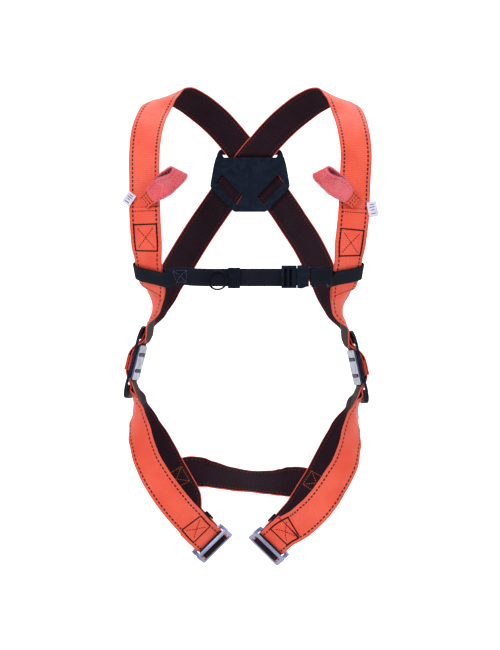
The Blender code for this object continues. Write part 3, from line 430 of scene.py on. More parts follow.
# ---- ribbons ---------------------------------------------------------------------------------
def lengths(rows):
    """Distance run along the webbing at each row."""
    out = [0.0]
    for a, b in zip(rows, rows[1:]):
        out.append(out[-1] + (b[0] - a[0]).length)
    return out


def section(width, thick, columns):
    """Closed outline of a webbing with round edges: (across, out, face kind)."""
    half, h = width / 2, thick / 2
    r = h * 0.9
    flat = half - r
    top = [(-flat + 2 * flat * i / columns, h, 0) for i in range(columns + 1)]
    rim = [(flat + r * math.sin(math.radians(a)), h * math.cos(math.radians(a)), 2)
           for a in (45, 90, 135)]
    low = [(flat - 2 * flat * i / columns, -h, 1) for i in range(columns + 1)]
    other = [(-x, -y, 2) for x, y, _ in rim]
    return top + rim + low + other


def ribbon(name, rows, width, thick, looks, outer=1.0, columns=10, wave=0.25, shape=None,
           narrow=None):
    """Webbing mesh with a map of (across, along) in metres and one look for each face."""
    profile = section(width, thick, columns)
    n = len(profile)
    run = lengths(rows)
    bm = bmesh.new()
    uv = bm.loops.layers.uv.new("webbing")
    rings = []
    for i, ((p, _, w, out), s) in enumerate(zip(rows, run)):
        ring = []
        gather = 1 - (narrow[i] if narrow else 0.0) / width
        for x, y, _ in profile:
            edge = (2 * x / width) ** 2
            x *= gather
            ripple = wave * edge * math.sin(s / 15.0 + (1.3 if x > 0 else 0.0))
            point = p + w * x + out * (y * outer + ripple)
            ring.append(bm.verts.new((shape(point) if shape else point) * MM))
        rings.append(ring)
    for i in range(len(rows) - 1):
        for k in range(n):
            m = (k + 1) % n
            kinds = (profile[k][2], profile[m][2])
            quad = [rings[i][k], rings[i][m], rings[i + 1][m], rings[i + 1][k]]
            spots = [(profile[k][0], run[i]), (profile[m][0], run[i]),
                     (profile[m][0], run[i + 1]), (profile[k][0], run[i + 1])]
            face = bm.faces.new(quad)
            face.material_index = kinds[0] if kinds[0] == kinds[1] else 2
            face.smooth = True
            for loop, spot in zip(face.loops, spots):
                loop[uv].uv = (spot[0] * MM, spot[1] * MM)
    for ring in (rings[0], rings[-1]):
        face = bm.faces.new(ring)
        face.material_index = 2
        for loop, (x, y, _) in zip(face.loops, profile):
            loop[uv].uv = (x * MM, y * MM)
    bmesh.ops.recalc_face_normals(bm, faces=bm.faces[:])
    return finish_mesh(name, bm, looks)


def finish_mesh(name, bm, looks, smooth=None):
    me = bpy.data.meshes.new(name)
    bm.to_mesh(me)
    bm.free()
    for look in looks:
        me.materials.append(look)
    if smooth is not None:
        for poly in me.polygons:
            poly.use_smooth = smooth
    ob = bpy.data.objects.new(name, me)
    bpy.context.scene.collection.objects.link(ob)
    return ob


# ---- sewing --------------------------------------------------------------------------------------
CORD_WIDTH = 2.3        # corded outline of the box seams on the orange side
CORD_PITCH = 2.2
CORD_FILL = 1.1         # over 1, so that one stitch runs into the next
CROSS_INSET = 5.0       # from a corded box to the ends of its cross


def finish_outward(name, bm, look, smooth=True):
    """A mesh of one material, with its faces turned outward first."""
    bmesh.ops.recalc_face_normals(bm, faces=bm.faces[:])
    return finish_mesh(name, bm, [look], smooth=smooth)


class Cloth:
    """Finds points on a webbing's face from (along, across), in millimetres."""

    def __init__(self, rows, outer=1.0, lift=WEB_T / 2):
        self.rows, self.run = rows, lengths(rows)
        self.outer, self.lift = outer, lift

    def at(self, along, across):
        i = 0
        while i < len(self.run) - 2 and self.run[i + 1] < along:
            i += 1
        a, b = self.rows[i], self.rows[i + 1]
        t = (along - self.run[i]) / max(self.run[i + 1] - self.run[i], 1e-6)
        p = a[0].lerp(b[0], t)
        w = a[2].lerp(b[2], t).normalized()
        n = a[3].lerp(b[3], t).normalized() * self.outer
        return p + w * across + n * self.lift, n

    def along_nearest(self, point):
        best = min(range(len(self.rows)), key=lambda i: (self.rows[i][0] - point).length)
        return self.run[best]


def stitch(bm, a, b, normal, width=0.9, height=0.55):
    """One thread: a low six-sided bead from a to b."""
    along = (b - a).normalized()
    side = along.cross(normal).normalized()
    ring = ((-0.5, 0.0), (-0.32, 0.85), (0.32, 0.85), (0.5, 0.0), (0.3, -0.3), (-0.3, -0.3))
    rows = []
    for t, size in ((0.0, 0.35), (0.18, 1.0), (0.82, 1.0), (1.0, 0.35)):
        p = a.lerp(b, t)
        rows.append([bm.verts.new((p + side * (x * width * size) + normal * (y * height * size))
                                  * MM) for x, y in ring])
    for r, s in zip(rows, rows[1:]):
        for k in range(6):
            bm.faces.new((r[k], r[(k + 1) % 6], s[(k + 1) % 6], s[k]))
    bm.faces.new(rows[0])
    bm.faces.new(rows[-1])


def sew_line(bm, cloth, start, end, pitch=3.6, fill=0.72, width=1.1):
    """Row of stitches between two (along, across) points."""
    length = math.dist(start, end)
    count = max(1, round(length / pitch))
    for i in range(count):
        ends = []
        for t in (i / count, (i + fill) / count):
            ends.append((start[0] + (end[0] - start[0]) * t, start[1] + (end[1] - start[1]) * t))
        a, n = cloth.at(*ends[0])
        b, _ = cloth.at(*ends[1])
        stitch(bm, a, b, n, width)


def sew_box(name, cloth, mid, half_along, half_across, look, corded=False):
    """Box with a cross inside, as on a load-bearing seam."""
    bm = bmesh.new()
    low, high, m = mid - half_along, mid + half_along, half_across
    corners = [(low, -m), (low, m), (high, m), (high, -m)]
    for a, b in zip(corners, corners[1:] + corners[:1]):
        if corded:
            sew_line(bm, cloth, a, b, CORD_PITCH, CORD_FILL, CORD_WIDTH)
        else:
            sew_line(bm, cloth, a, b)
    inset = CROSS_INSET if corded else 0.0
    sew_line(bm, cloth, (low + inset, -m + inset), (high - inset, m - inset))
    sew_line(bm, cloth, (low + inset, m - inset), (high - inset, -m + inset))
    finish_sewing(name, bm, look, HARNESS)


def sew_rows(name, cloth, lines, look, body=HARNESS):
    """Straight stitch rows between pairs of (along, across) points."""
    bm = bmesh.new()
    for a, b in lines:
        sew_line(bm, cloth, a, b)
    finish_sewing(name, bm, look, body)


def finish_sewing(name, bm, look, body):
    ob = finish_outward(name, bm, look)
    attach(ob, body)


# ---- materials ------------------------------------------------------------------------------------
class Nodes:
    """Small helper to write a material's node tree."""

    def __init__(self, name):
        self.mat = bpy.data.materials.new(name)
        self.mat.use_nodes = True
        self.tree = self.mat.node_tree
        self.shader = self.tree.nodes["Principled BSDF"]

    def new(self, kind, **values):
        node = self.tree.nodes.new(kind)
        for key, value in values.items():
            setattr(node, key, value)
        return node

    def link(self, a, b):
        self.tree.links.new(a, b)

    def math(self, operation, a, b=None, c=None, clamp=False):
        node = self.new("ShaderNodeMath", operation=operation, use_clamp=clamp)
        for i, value in enumerate((a, b, c)):
            if value is None:
                continue
            if isinstance(value, (int, float)):
                node.inputs[i].default_value = value
            else:
                self.link(value, node.inputs[i])
        return node.outputs[0]

    def times(self, a, b):
        return self.math("MULTIPLY", a, b)

    def cloud(self, scale, low):
        """Soft blotches of 0 and 1."""
        return self.spread(self.noise(scale), low, 1 - low)

    def mix(self, factor, a, b):
        node = self.new("ShaderNodeMix", data_type="RGBA")
        for socket, value in ((node.inputs["Factor"], factor), (node.inputs[6], a),
                              (node.inputs[7], b)):
            if isinstance(value, (int, float)):
                socket.default_value = value
            elif isinstance(value, tuple):
                socket.default_value = (*value, 1.0)
            else:
                self.link(value, socket)
        return node.outputs[2]

    def noise(self, scale, detail=3.0, stretch=(1, 1, 1)):
        source = self.new("ShaderNodeTexCoord").outputs["Object"]
        place = self.new("ShaderNodeMapping")
        place.inputs["Scale"].default_value = stretch
        node = self.new("ShaderNodeTexNoise")
        node.inputs["Scale"].default_value = scale
        node.inputs["Detail"].default_value = detail
        node.inputs["Roughness"].default_value = 0.55
        self.link(source, place.inputs["Vector"])
        self.link(place.outputs[0], node.inputs["Vector"])
        return node.outputs["Fac"]

    def spread(self, value, low, high):
        """A value eased to 0 below low and 1 above high."""
        node = self.new("ShaderNodeMapRange", interpolation_type="SMOOTHSTEP")
        self.link(value, node.inputs["Value"])
        node.inputs["From Min"].default_value = low
        node.inputs["From Max"].default_value = high
        return node.outputs[0]

    def bump(self, height, strength, distance):
        node = self.new("ShaderNodeBump")
        node.inputs["Strength"].default_value = strength
        node.inputs["Distance"].default_value = distance
        self.link(height, node.inputs["Height"])
        self.link(node.outputs[0], self.shader.inputs["Normal"])

    def set(self, **values):
        for key, value in values.items():
            socket = self.shader.inputs[key.replace("_", " ")]
            if isinstance(value, tuple):
                socket.default_value = (*value, 1.0)
            elif isinstance(value, (int, float)):
                socket.default_value = value
            else:
                self.link(value, socket)


BAND_SOFT = 0.0002      # metres over which a dash line's edge fades


def band(n, value, middle, half):
    """1 where value lies within half of middle, 0 outside."""
    away = n.math("ABSOLUTE", n.math("SUBTRACT", value, middle))
    return n.math("DIVIDE", n.math("SUBTRACT", half + BAND_SOFT, away), BAND_SOFT, clamp=True)


def dashes(n, along, away, width, inset, half, pitch, gap):
    """1 on the dashes woven in beside both edges; gap is the bare share of the pitch."""
    lane = band(n, away, width / 2 - inset, half)
    dash = n.math("GREATER_THAN", n.math("FRACT", n.times(along, 1 / pitch)), gap)
    return n.times(lane, dash)


def weave(n, rib=0.0027, warp=0.0019):
    """(across, along, distance from the middle line, rib height, yarn height) of a webbing."""
    uv = n.new("ShaderNodeUVMap", uv_map="webbing").outputs[0]
    split = n.new("ShaderNodeSeparateXYZ")
    n.link(uv, split.inputs[0])
    across, along = split.outputs[0], split.outputs[1]
    away = n.math("ABSOLUTE", across)
    slant = n.times(n.math("PINGPONG", across, 0.0032), 0.35)
    ribs = n.math("SINE", n.times(n.math("ADD", along, slant), 2 * math.pi / rib))
    ribs = n.math("MULTIPLY_ADD", ribs, 0.5, 0.5)
    yarns = n.math("SINE", n.times(across, 2 * math.pi / warp))
    yarns = n.math("MULTIPLY_ADD", yarns, 0.5, 0.5)
    return across, along, away, ribs, yarns


def webbing_outside():
    width = WEB_W * MM
    n = Nodes("webbing_orange")
    _, along, away, ribs, yarns = weave(n)
    shade = n.cloud(22.0, 0.3)
    base = n.mix(shade, (0.90, 0.085, 0.040), (0.99, 0.135, 0.075))
    base = n.mix(n.times(n.math("SUBTRACT", 1.0, ribs), 0.45), base,
                 (0.50, 0.018, 0.012))
    base = n.mix(n.times(yarns, 0.12), base, (1.0, 0.27, 0.17))
    mark = dashes(n, along, away, width, 0.0056, 0.0010, 0.0062, 0.34)
    base = n.mix(mark, base, (0.008, 0.003, 0.006))
    edge = n.spread(away, width / 2 - 0.0022, width / 2)
    base = n.mix(n.times(edge, 0.45), base, (0.78, 0.05, 0.03))
    height = n.math("ADD", n.times(ribs, 0.75), n.times(yarns, 0.25))
    height = n.math("SUBTRACT", height, n.times(mark, 0.6))
    n.bump(height, 0.55, 0.0004)
    n.set(Base_Color=base, Roughness=0.48, Sheen_Weight=0.03, Sheen_Roughness=0.4,
          Specular_IOR_Level=0.3)
    n.shader.inputs["Sheen Tint"].default_value = (1.0, 0.62, 0.5, 1)
    return n.mat


def webbing_inside():
    width = WEB_W * MM
    n = Nodes("webbing_dark_side")
    _, along, away, ribs, yarns = weave(n)
    shade = n.cloud(30.0, 0.3)
    base = n.mix(shade, (0.006, 0.003, 0.007), (0.011, 0.005, 0.011))
    raised = n.times(n.times(ribs, ribs), 0.6)
    base = n.mix(raised, base, (0.046, 0.015, 0.024))
    fleck = n.spread(n.noise(900.0, 2.0), 0.62, 0.72)
    base = n.mix(n.times(fleck, 0.22), base, (0.24, 0.04, 0.035))
    mark = dashes(n, along, away, width, 0.0052, 0.0005, 0.0052, 0.5)
    base = n.mix(n.times(mark, 0.55), base, (0.20, 0.03, 0.02))
    edge = n.spread(away, width / 2 - 0.0017, width / 2 - 0.0009)
    base = n.mix(edge, base, (0.80, 0.07, 0.04))
    height = n.math("ADD", n.times(ribs, 0.7), n.times(yarns, 0.3))
    n.bump(height, 0.6, 0.0004)
    n.set(Base_Color=base, Roughness=0.7, Specular_IOR_Level=0.10)
    return n.mat


def webbing_edge():
    n = Nodes("webbing_edge")
    ribs = weave(n)[3]
    base = n.mix(n.times(ribs, 0.5), (0.84, 0.075, 0.04), (0.62, 0.035, 0.02))
    base = n.mix(n.cloud(60.0, 0.35), base, (0.9, 0.10, 0.055))
    n.bump(ribs, 0.5, 0.0003)
    n.set(Base_Color=base, Roughness=0.65, Sheen_Weight=0.2)
    return n.mat


def webbing_black():
    n = Nodes("webbing_black")
    _, along, away, ribs, yarns = weave(n, 0.0017, 0.0011)
    shade = n.cloud(35.0, 0.3)
    base = n.mix(shade, (0.0012, 0.002, 0.006), (0.003, 0.0045, 0.011))
    base = n.mix(n.times(ribs, 0.5), base, (0.011, 0.014, 0.030))
    mark = dashes(n, along, away, CHEST_W * MM, 0.0035, 0.0004, 0.0048, 0.45)
    base = n.mix(n.times(mark, 0.3), base, (0.03, 0.035, 0.06))
    height = n.math("ADD", n.times(ribs, 0.7), n.times(yarns, 0.3))
    n.bump(height, 0.6, 0.0003)
    n.set(Base_Color=base, Roughness=0.6, Specular_IOR_Level=0.10)
    return n.mat


def moulded(name, dark, light, grain=1.0, rough=0.42):
    """Fine-grained moulded plastic with a painted highlight, in patches, on its sharp edges."""
    n = Nodes(name)
    base = n.mix(n.cloud(18.0, 0.35), dark, light)
    # painted highlight: sharp edges are lightened, broken up by noise patches
    point = n.new("ShaderNodeNewGeometry").outputs["Pointiness"]
    edge_highlight = n.spread(point, 0.53, 0.60)
    edge_highlight = n.times(edge_highlight, n.spread(n.noise(160.0), 0.42, 0.62))
    base = n.mix(n.times(edge_highlight, 0.25), base, tuple(min(1, c * 3 + 0.01) for c in light))
    n.set(Base_Color=base, Specular_IOR_Level=0.08)
    fine = n.noise(1400.0, 2.0)
    n.bump(fine, 0.18 * grain, 0.0002)
    n.set(Roughness=n.math("MULTIPLY_ADD", n.cloud(70.0, 0.3), 0.14, rough - 0.07))
    return n.mat


def plated_steel(name, dark, light):
    n = Nodes(name)
    tint = n.spread(n.noise(26.0, 4.0), 0.35, 0.66)
    base = n.mix(tint, dark, light)
    base = n.mix(n.times(n.spread(n.noise(60.0, 4.0), 0.60, 0.74), 0.3), base,
                 tuple(c * 0.7 for c in light))
    brushed = n.noise(260.0, 4.0, stretch=(1.0, 6.0, 1.0))
    n.bump(brushed, 0.12, 0.0002)
    n.set(Base_Color=base, Metallic=0.95)
    n.set(Roughness=n.math("MULTIPLY_ADD", n.cloud(90.0, 0.3), 0.16, 0.24))
    return n.mat


def sleeve_plastic():
    """Soft clear pink tube: glossy and see-through, with faintly uneven colour."""
    n = Nodes("sleeve_pink")
    uneven = n.spread(n.noise(40.0, 2.0, stretch=(1, 1, 0.4)), 0.35, 0.65)
    base = n.mix(uneven, (0.97, 0.16, 0.24), (0.98, 0.27, 0.36))
    n.bump(n.noise(45.0, 2.0), 0.06, 0.0006)
    n.set(Base_Color=base, Roughness=0.17, Alpha=0.3, IOR=1.42, Coat_Weight=0.5,
          Coat_Roughness=0.08)
    return n.mat


def thread(name, colour):
    n = Nodes(name)
    base = n.mix(n.cloud(900.0, 0.35), colour,
                 tuple(min(1.0, c * 1.6 + 0.004) for c in colour))
    n.bump(n.noise(2600.0, 2.0), 0.4, 0.0002)
    n.set(Base_Color=base, Roughness=0.6, Specular_IOR_Level=0.1)
    return n.mat


def tag_cloth():
    n = Nodes("tag_cloth")
    base = n.mix(n.cloud(120.0, 0.35), (0.62, 0.60, 0.74), (0.74, 0.72, 0.84))
    n.bump(n.noise(1500.0, 2.0), 0.3, 0.0002)
    n.set(Base_Color=base, Roughness=0.5, Sheen_Weight=0.2)
    return n.mat


# ---- pieces ---------------------------------------------------------------------------------------
ORANGE, DARK, EDGE = webbing_outside(), webbing_inside(), webbing_edge()
BLACK = webbing_black()
THREAD_BLACK = thread("thread_black", (0.004, 0.003, 0.005))
THREAD_BROWN = thread("thread_orange_brown", (0.30, 0.075, 0.018))
THREAD_NAVY = thread("thread_navy", (0.035, 0.042, 0.075))
PLASTIC = moulded("moulded_navy", (0.003, 0.005, 0.012), (0.005, 0.008, 0.018))
PLATE = moulded("moulded_plate_navy", (0.005, 0.0085, 0.020), (0.0062, 0.0105, 0.024), 1.0, 0.40)
PAD = moulded("pad_navy", (0.004, 0.006, 0.017), (0.008, 0.011, 0.026), 2.0, 0.55)
STEEL = plated_steel("plated_steel", (0.20, 0.245, 0.40), (0.34, 0.39, 0.56))
# the same plated steel darkened as painted shade, for the hip plates
STEEL_SHADED = plated_steel("plated_steel_shaded", (0.065, 0.072, 0.14), (0.15, 0.165, 0.28))
SLEEVE = sleeve_plastic()
TAG = tag_cloth()
TWO_TONE = [ORANGE, DARK, EDGE]

PATCH_SEAM_Z = {"right": -210.0, "left": -218.0}     # heights of the box seams on the chest
SEAT_SEAM = {"right": Vector((-109.0, 60.0, -560.0)), "left": Vector((97.0, 60.0, -568.0))}
TUBE_OUTSIDE = (48.4, 4.6)          # a sleeve's width and thickness before it is gathered
TUBE_INSIDE = (47.2, 3.2)
TAG_CORNER = 1.6
TAG_STROKES = ((0.62, 0.55), (0.28, 0.62), (-0.08, 0.42), (-0.55, 0.6))     # height, half length


def face_sign(rows, direction, at=0):
    """+1 when the row's own face looks along direction."""
    return 1.0 if rows[at][3].dot(vec(direction)) > 0 else -1.0


def main_webbing(name, rows, outer, body=HARNESS, shape=None, replace=None, narrow=None):
    ob = ribbon(name, rows, WEB_W, WEB_T, TWO_TONE, outer, shape=shape, narrow=narrow)
    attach(ob, body)
    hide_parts(replace or name.replace("_webbing", ""))
    return ob


def round_ring_bar(point):
    """Steps the webbing out round the dorsal ring's bar."""
    if point.y > 90:
        return point + vec((0, interpolate(BULGE, point.z), 0))
    return point


def add_shoulders():
    out = {}
    for side in SIDES:
        rows = shoulder_rows(side)
        sign = outward_sign(nearest_row(rows, -200))
        main_webbing("shoulder_strap_%s_webbing" % side, rows, sign, shape=round_ring_bar)
        out[side] = (rows, sign)
    return out


def add_patches(shoulders):
    """Second layer sewn on in front, under the sternal loop, with its box seams."""
    for side in SIDES:
        rows, sign = shoulders[side]
        part = [r for r in rows if r[0].y < 0 and -290 < r[0].z < -168]
        layer = offset_rows(part, sign * (LAYER + 0.3))
        main_webbing("sternal_patch_%s_webbing" % side, layer, sign)
        cloth = Cloth(layer, sign)
        mid = cloth.along_nearest(vec((0, -108, PATCH_SEAM_Z[side])) + vec((layer[0][0].x, 0, 0)))
        sew_box("sternal_patch_%s_seam" % side, cloth, mid, 19.0, 16.5, THREAD_BLACK, True)
        ends = [cloth.run[0] + 5.0, cloth.run[-1] - 5.0]
        lines = [((s, -18.0), (s, 18.0)) for s in ends]
        sew_rows("sternal_patch_%s_end_seams" % side, cloth, lines, THREAD_BLACK)


def add_sternal_loops():
    for side in SIDES:
        body = "sternal_loop_" + side
        _, run, wide0, _ = loop_frame(side)
        rows = loop_rows(side, LOOP_PATH, LOOP_STEP)
        wide = (wide0 - run * wide0.dot(run)).normalized()
        face = run.cross(wide) * MIRROR[side]
        outer = -face_sign(rows, face, 3)
        main_webbing("sternal_loop_%s_webbing" % side, rows, outer, body,
                     replace="sternal_loop_" + side, narrow=loop_narrow(side, rows))
        tube = loop_rows(side, LOOP_PATH[2:-2], LOOP_STEP)
        sleeve = sleeve_piece("sternal_sleeve_%s_tube" % side, tube, loop_narrow(side, tube))
        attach(sleeve, body)
        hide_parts("sternal_sleeve_" + side)
        cloth = Cloth(rows, outer)
        lines = []
        for near in (4.0, 8.0, 12.0):
            for s in (near, cloth.run[-1] - near):
                lines.append(((s, -8.0), (s, 8.0)))
        sew_rows("sternal_loop_%s_seam" % side, cloth, lines, THREAD_BLACK, body)


def sleeve_piece(name, rows, narrow):
    """Flattened soft tube with round sides, open at both ends."""
    def ring(width, thick):
        half, h, pts = width / 2 - thick / 2, thick / 2, []
        for i in range(9):
            a = math.radians(-90 + 180 * i / 8)
            pts.append((half + h * math.cos(a), h * math.sin(a)))
        for i in range(9):
            a = math.radians(90 + 180 * i / 8)
            pts.append((-half + h * math.cos(a), h * math.sin(a)))
        return pts
    bm = bmesh.new()
    outer, inner = ring(*TUBE_OUTSIDE), ring(*TUBE_INSIDE)
    n = len(outer)
    loops = []
    for (p, _, w, out), less in zip(rows, narrow):
        gather = 1 - less / WEB_W
        loops.append([[bm.verts.new((p + w * (x * gather) + out * y) * MM) for x, y in shape]
                      for shape in (outer, inner)])
    for a, b in zip(loops, loops[1:]):
        for k in range(n):
            m = (k + 1) % n
            bm.faces.new((a[0][k], a[0][m], b[0][m], b[0][k]))
            bm.faces.new((a[1][m], a[1][k], b[1][k], b[1][m]))
    for end in (loops[0], loops[-1]):
        for k in range(n):
            m = (k + 1) % n
            bm.faces.new((end[0][k], end[0][m], end[1][m], end[1][k]))
    return finish_outward(name, bm, SLEEVE)


def add_tags(shoulders):
    """Small pale tags on the shoulder straps' outer edges, with plain strokes for print."""
    for side in SIDES:
        at, (wide, up, out), (half_w, half_h, half_t) = tag_frame(side, shoulders[side][0])
        bm = bmesh.new()
        corner, rim = TAG_CORNER, []
        for cx, cz, a0 in ((1, 1, 0), (-1, 1, 90), (-1, -1, 180), (1, -1, 270)):
            for i in range(5):
                a = math.radians(a0 + 90 * i / 4)
                rim.append((cx * (half_w - corner) + corner * math.cos(a),
                            cz * (half_h - corner) + corner * math.sin(a)))
        sheets = []
        for y, size in ((-half_t, 0.97), (-0.3, 1.0), (0.3, 1.0), (half_t, 0.97)):
            sheets.append([bm.verts.new((at + wide * (x * size) + up * (z * size)
                                         + out * (y + 0.008 * x * x)) * MM) for x, z in rim])
        for a, b in zip(sheets, sheets[1:]):
            for i in range(len(rim)):
                j = (i + 1) % len(rim)
                bm.faces.new((a[i], a[j], b[j], b[i]))
        bm.faces.new(sheets[0])
        bm.faces.new(sheets[-1])
        tag = finish_outward("loop_label_%s_tag" % side, bm, TAG, None)
        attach(tag, HARNESS)
        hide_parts("loop_label_" + side)
        bm = bmesh.new()
        for z, half in TAG_STROKES:
            middle = at + up * (z * half_h) + out * (half_t + 0.15)
            stitch(bm, middle - wide * (half * half_w), middle + wide * (half * half_w), out,
                   1.3, 0.35)
        finish_sewing("loop_label_%s_strokes" % side, bm, THREAD_NAVY, HARNESS)


def add_leg_webbing():
    for side in SIDES:
        front = thigh_front_rows(side)
        mid = min(range(len(front)), key=lambda i: abs(front[i][0].z + 540))
        sign = face_sign(front, (0, -1, 0), mid)
        main_webbing("thigh_front_strap_%s_webbing" % side, front, sign)
        cloth = Cloth(front, sign)
        centre, axes = buckle_axes(side)
        near = cloth.along_nearest(local_point(centre, axes, (0, FRONT_LOOP[0][0] - 4,
                                                              FRONT_LOOP[0][1] - 1)))
        sew_box("thigh_front_strap_%s_seam" % side, cloth, near - 5.0, 14.0, 17.0,
                THREAD_BLACK, True)
        back = thigh_back_rows(side)
        mid = min(range(len(back)), key=lambda i: abs(back[i][0].z + 555))
        sign = face_sign(back, (0, 1, 0), mid)
        main_webbing("thigh_back_strap_%s_webbing" % side, back, sign)
        inside = Cloth(back, -sign)
        spot = inside.along_nearest(SEAT_SEAM[side])
        sew_box("seat_strap_%s_seam" % side, inside, spot, 12.0, 15.5, THREAD_BROWN)


def add_seat():
    rows = sample_route(SEAT)
    sign = face_sign(rows, (0, 1, 0), len(rows) // 2)
    main_webbing("seat_strap_webbing", rows, sign, replace="seat_strap")


def add_chest_straps(shoulders):
    """Both chest straps, each with the seam that holds its folded-back end."""
    long, short = chest_long_rows(shoulders["right"][0]), chest_short_rows(shoulders["left"][0])
    for name, rows, spot, half in (("chest_strap_long", long, (-97.0, -118.5, -266.2), 9.0),
                                   ("chest_strap_short", short, (104.0, -126.5, -266.0), 6.0)):
        ob = ribbon(name + "_webbing", rows, CHEST_W, CHEST_T, [BLACK], 1.0, 8, 0.1)
        for poly in ob.data.polygons:
            poly.material_index = 0
        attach(ob, HARNESS)
        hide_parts(name)
        cloth = Cloth(rows, face_sign(rows, (0, -1, 0), len(rows) // 8), CHEST_T / 2)
        sew_box(name + "_seam", cloth, cloth.along_nearest(vec(spot)), half, 8.5, THREAD_NAVY)


ROD_SIDES = 20


def rod(name, points, radius, look):
    """Smooth closed round rod through points given in millimetres."""
    bm = bmesh.new()
    n = len(points)
    normal = vec((0, 0, 0))
    for a, b in zip(points, points[1:] + points[:1]):
        normal += a.cross(b)
    normal.normalize()
    rings = []
    for i in range(n):
        along = (points[(i + 1) % n] - points[i - 1]).normalized()
        side = along.cross(normal).normalized()
        rings.append([bm.verts.new((points[i] + side * (radius * math.cos(a))
                                    + normal * (radius * math.sin(a))) * MM)
                      for a in [2 * math.pi * k / ROD_SIDES for k in range(ROD_SIDES)]])
    for i in range(n):
        a, b = rings[i], rings[(i + 1) % n]
        for k in range(ROD_SIDES):
            m = (k + 1) % ROD_SIDES
            bm.faces.new((a[k], b[k], b[m], a[m]))
    return finish_outward(name, bm, look)


def add_dorsal_ring():
    flat, r = [], 6.0
    for i in range(13):
        a = math.radians(90 - 90 * i / 12)
        flat.append((RING_HALF - r + r * math.cos(a), -r + r * math.sin(a)))
    flat.append((RING_HALF, -10.0))
    for i in range(49):
        a = math.pi * i / 48
        flat.append((RING_HALF * math.cos(a), -14.0 - 39.0 * math.sin(a)))
    flat.append((-RING_HALF, -10.0))
    for i in range(13):
        a = math.radians(180 - 90 * i / 12)
        flat.append((-RING_HALF + r + r * math.cos(a), -r + r * math.sin(a)))
    for i in range(1, 12):
        flat.append((-(RING_HALF - r) + 2 * (RING_HALF - r) * i / 12, 0.0))
    lean = math.radians(RING_LEAN)
    base = vec(RING_AXIS)
    points = [base + vec((x, -z * math.sin(lean), z * math.cos(lean))) for x, z in flat]
    ring = rod("dorsal_ring_rod", points, RING_BAR_R, STEEL)
    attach(ring, "dorsal_ring")
    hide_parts("dorsal_ring")


SHARP = math.radians(28)    # edges sharper than this are rounded


def soften(node, width, look, segments=2):
    """Rounds a CAD node's edges with modifiers and gives it its surface."""
    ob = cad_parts[node]
    ob.data.materials.clear()
    ob.data.materials.append(look)
    flat = ob.modifiers.new("flatten", "DECIMATE")
    flat.decimate_type = "DISSOLVE"
    flat.angle_limit = math.radians(1.0)
    bevel = ob.modifiers.new("edges", "BEVEL")
    bevel.width = width * MM
    bevel.segments = segments
    bevel.limit_method = "ANGLE"
    bevel.angle_limit = SHARP
    bevel.harden_normals = False


def dress_cad_nodes():
    soften("dorsal_plate", 0.7, PLATE)
    soften("chest_buckle_plug", 0.45, PLASTIC)
    soften("chest_buckle_socket", 0.6, PLASTIC)
    soften("lanyard_parking_ring", 0.25, PLASTIC)
    for side in SIDES:
        soften("hip_pad_" + side, 0.9, PAD)
        soften("hip_plate_" + side, 0.5, STEEL_SHADED)
        soften("leg_buckle_plate_" + side, 0.7, STEEL, 3)
        soften("leg_buckle_frame_" + side, 0.8, STEEL, 3)
        soften("leg_strap_keeper_" + side, 0.5, PLASTIC)


DIMPLES_X, DIMPLE_Z, DIMPLE_SIDES = (-29.5, 28.5), -107.0, 24
DIMPLE = ((3.7, 0.0), (3.2, -0.7), (2.2, -0.75), (1.7, -0.25))      # radius, height off the face


def add_plate_details():
    """Rivet-like dimples and the low middle ridge on the dorsal plate's inner face."""
    bm = bmesh.new()

    def circle(x, r, y):
        return [bm.verts.new((x * MM + r * MM * math.cos(a), (PLATE_FRONT_Y + y) * MM,
                              DIMPLE_Z * MM + r * MM * math.sin(a)))
                for a in [2 * math.pi * k / DIMPLE_SIDES for k in range(DIMPLE_SIDES)]]
    for x in DIMPLES_X:
        for inner, outer in zip(DIMPLE, DIMPLE[1:]):
            a, b = circle(x, *inner), circle(x, *outer)
            for k in range(len(a)):
                m = (k + 1) % len(a)
                bm.faces.new((a[k], a[m], b[m], b[k]))
        bm.faces.new(circle(x, *DIMPLE[-1]))
    rows = []
    for z, half, high in ((-93, 0.6, 0.1), (-97, 1.6, 0.7), (-150, 1.6, 0.7), (-156, 0.6, 0.1)):
        rows.append([bm.verts.new((x * MM, (PLATE_FRONT_Y - y) * MM, z * MM))
                     for x, y in ((-half - 0.9, 0.0), (-half, high), (half, high),
                                  (half + 0.9, 0.0))])
    for a, b in zip(rows, rows[1:]):
        for k in range(3):
            bm.faces.new((a[k], a[k + 1], b[k + 1], b[k]))
    bmesh.ops.remove_doubles(bm, verts=bm.verts[:], dist=1e-7)
    ob = finish_outward("dorsal_plate_details", bm, PLATE, None)
    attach(ob, HARNESS)


# ---- stage -----------------------------------------------------------------------------------------
def plain(name, colour, emit=0.0):
    n = Nodes(name)
    n.set(Base_Color=n.mix(n.noise(0.6), colour, tuple(min(1.0, c * 1.02) for c in colour)),
          Roughness=0.9)
    if emit:
        n.shader.inputs["Emission Color"].default_value = (1, 1, 1, 1)
        n.set(Emission_Strength=emit)
    return n.mat


LIGHTS_AIM = Vector((0, 0, -0.33))
WORLD_STRENGTH = 0.62
BACKDROP_HALF = 9.0     # half width of the white backdrop, and its distance behind the harness
BACKDROP_AWAY = 7.5


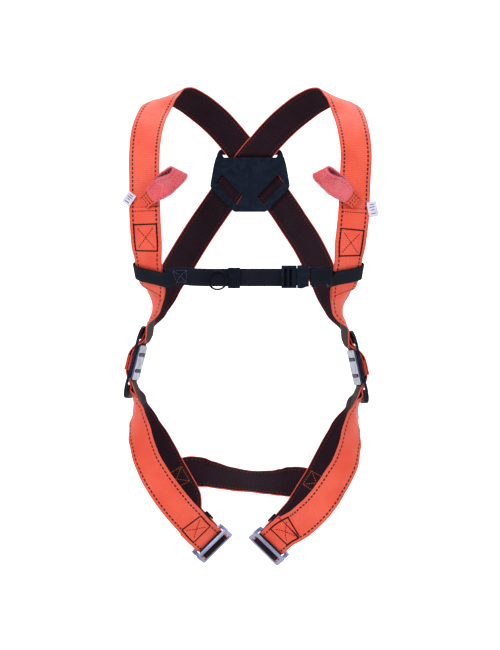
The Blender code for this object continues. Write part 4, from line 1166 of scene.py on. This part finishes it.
def area(name, at, size, power):
    """White square light of a size in metres and a power in watts."""
    light = bpy.data.lights.new(name, "AREA")
    light.shape, light.size, light.energy = "SQUARE", size, power
    ob = bpy.data.objects.new(name, light)
    bpy.context.scene.collection.objects.link(ob)
    ob.location = at
    ob.rotation_euler = (LIGHTS_AIM - Vector(at)).to_track_quat("-Z", "Y").to_euler()


def add_stage():
    bm = bmesh.new()
    bmesh.ops.create_grid(bm, x_segments=8, y_segments=8, size=3.5)
    floor = finish_mesh("floor", bm, [plain("floor_pale", (0.86, 0.86, 0.86))])
    floor.location.z = FLOOR_Z
    world = bpy.data.worlds.new("studio")
    world.use_nodes = True
    world.node_tree.nodes["Background"].inputs["Color"].default_value = (1, 1, 1, 1)
    world.node_tree.nodes["Background"].inputs["Strength"].default_value = WORLD_STRENGTH
    scene = bpy.context.scene
    scene.world = world
    scene.view_settings.view_transform = "Standard"
    backdrop = bpy.data.objects.new("backdrop", bpy.data.meshes.new("backdrop"))
    wide, far = BACKDROP_HALF, BACKDROP_AWAY
    backdrop.data.from_pydata([(-wide, far, -wide), (wide, far, -wide), (wide, far, wide),
                               (-wide, far, wide)], [], [(0, 1, 2, 3)])
    backdrop.data.materials.append(plain("backdrop_white", (1.0, 1.0, 1.0), 1.0))
    scene.collection.objects.link(backdrop)
    area("key", (-1.4, -2.8, 1.5), 0.9, 44)
    area("fill", (2.4, -2.2, 0.2), 1.8, 16)
    area("top", (0.2, 0.9, 2.2), 1.2, 30)
    camera = bpy.data.cameras.new("camera")
    camera.sensor_fit = "HORIZONTAL"
    camera.sensor_width = 36.0
    camera.lens = camera.sensor_width * CAMERA_AWAY / VIEW_WIDTH
    camera.clip_end = 60.0
    ob = bpy.data.objects.new("camera", camera)
    scene.collection.objects.link(ob)
    ob.location = (0, -CAMERA_AWAY, CAMERA_Z)
    ob.rotation_euler = (math.radians(90), 0, 0)
    scene.camera = ob


# ---- make everything ------------------------------------------------------------------------------
add_stage()
SHOULDERS = add_shoulders()
add_patches(SHOULDERS)
add_sternal_loops()
add_tags(SHOULDERS)
add_leg_webbing()
add_seat()
add_chest_straps(SHOULDERS)
add_dorsal_ring()
dress_cad_nodes()
add_plate_details()
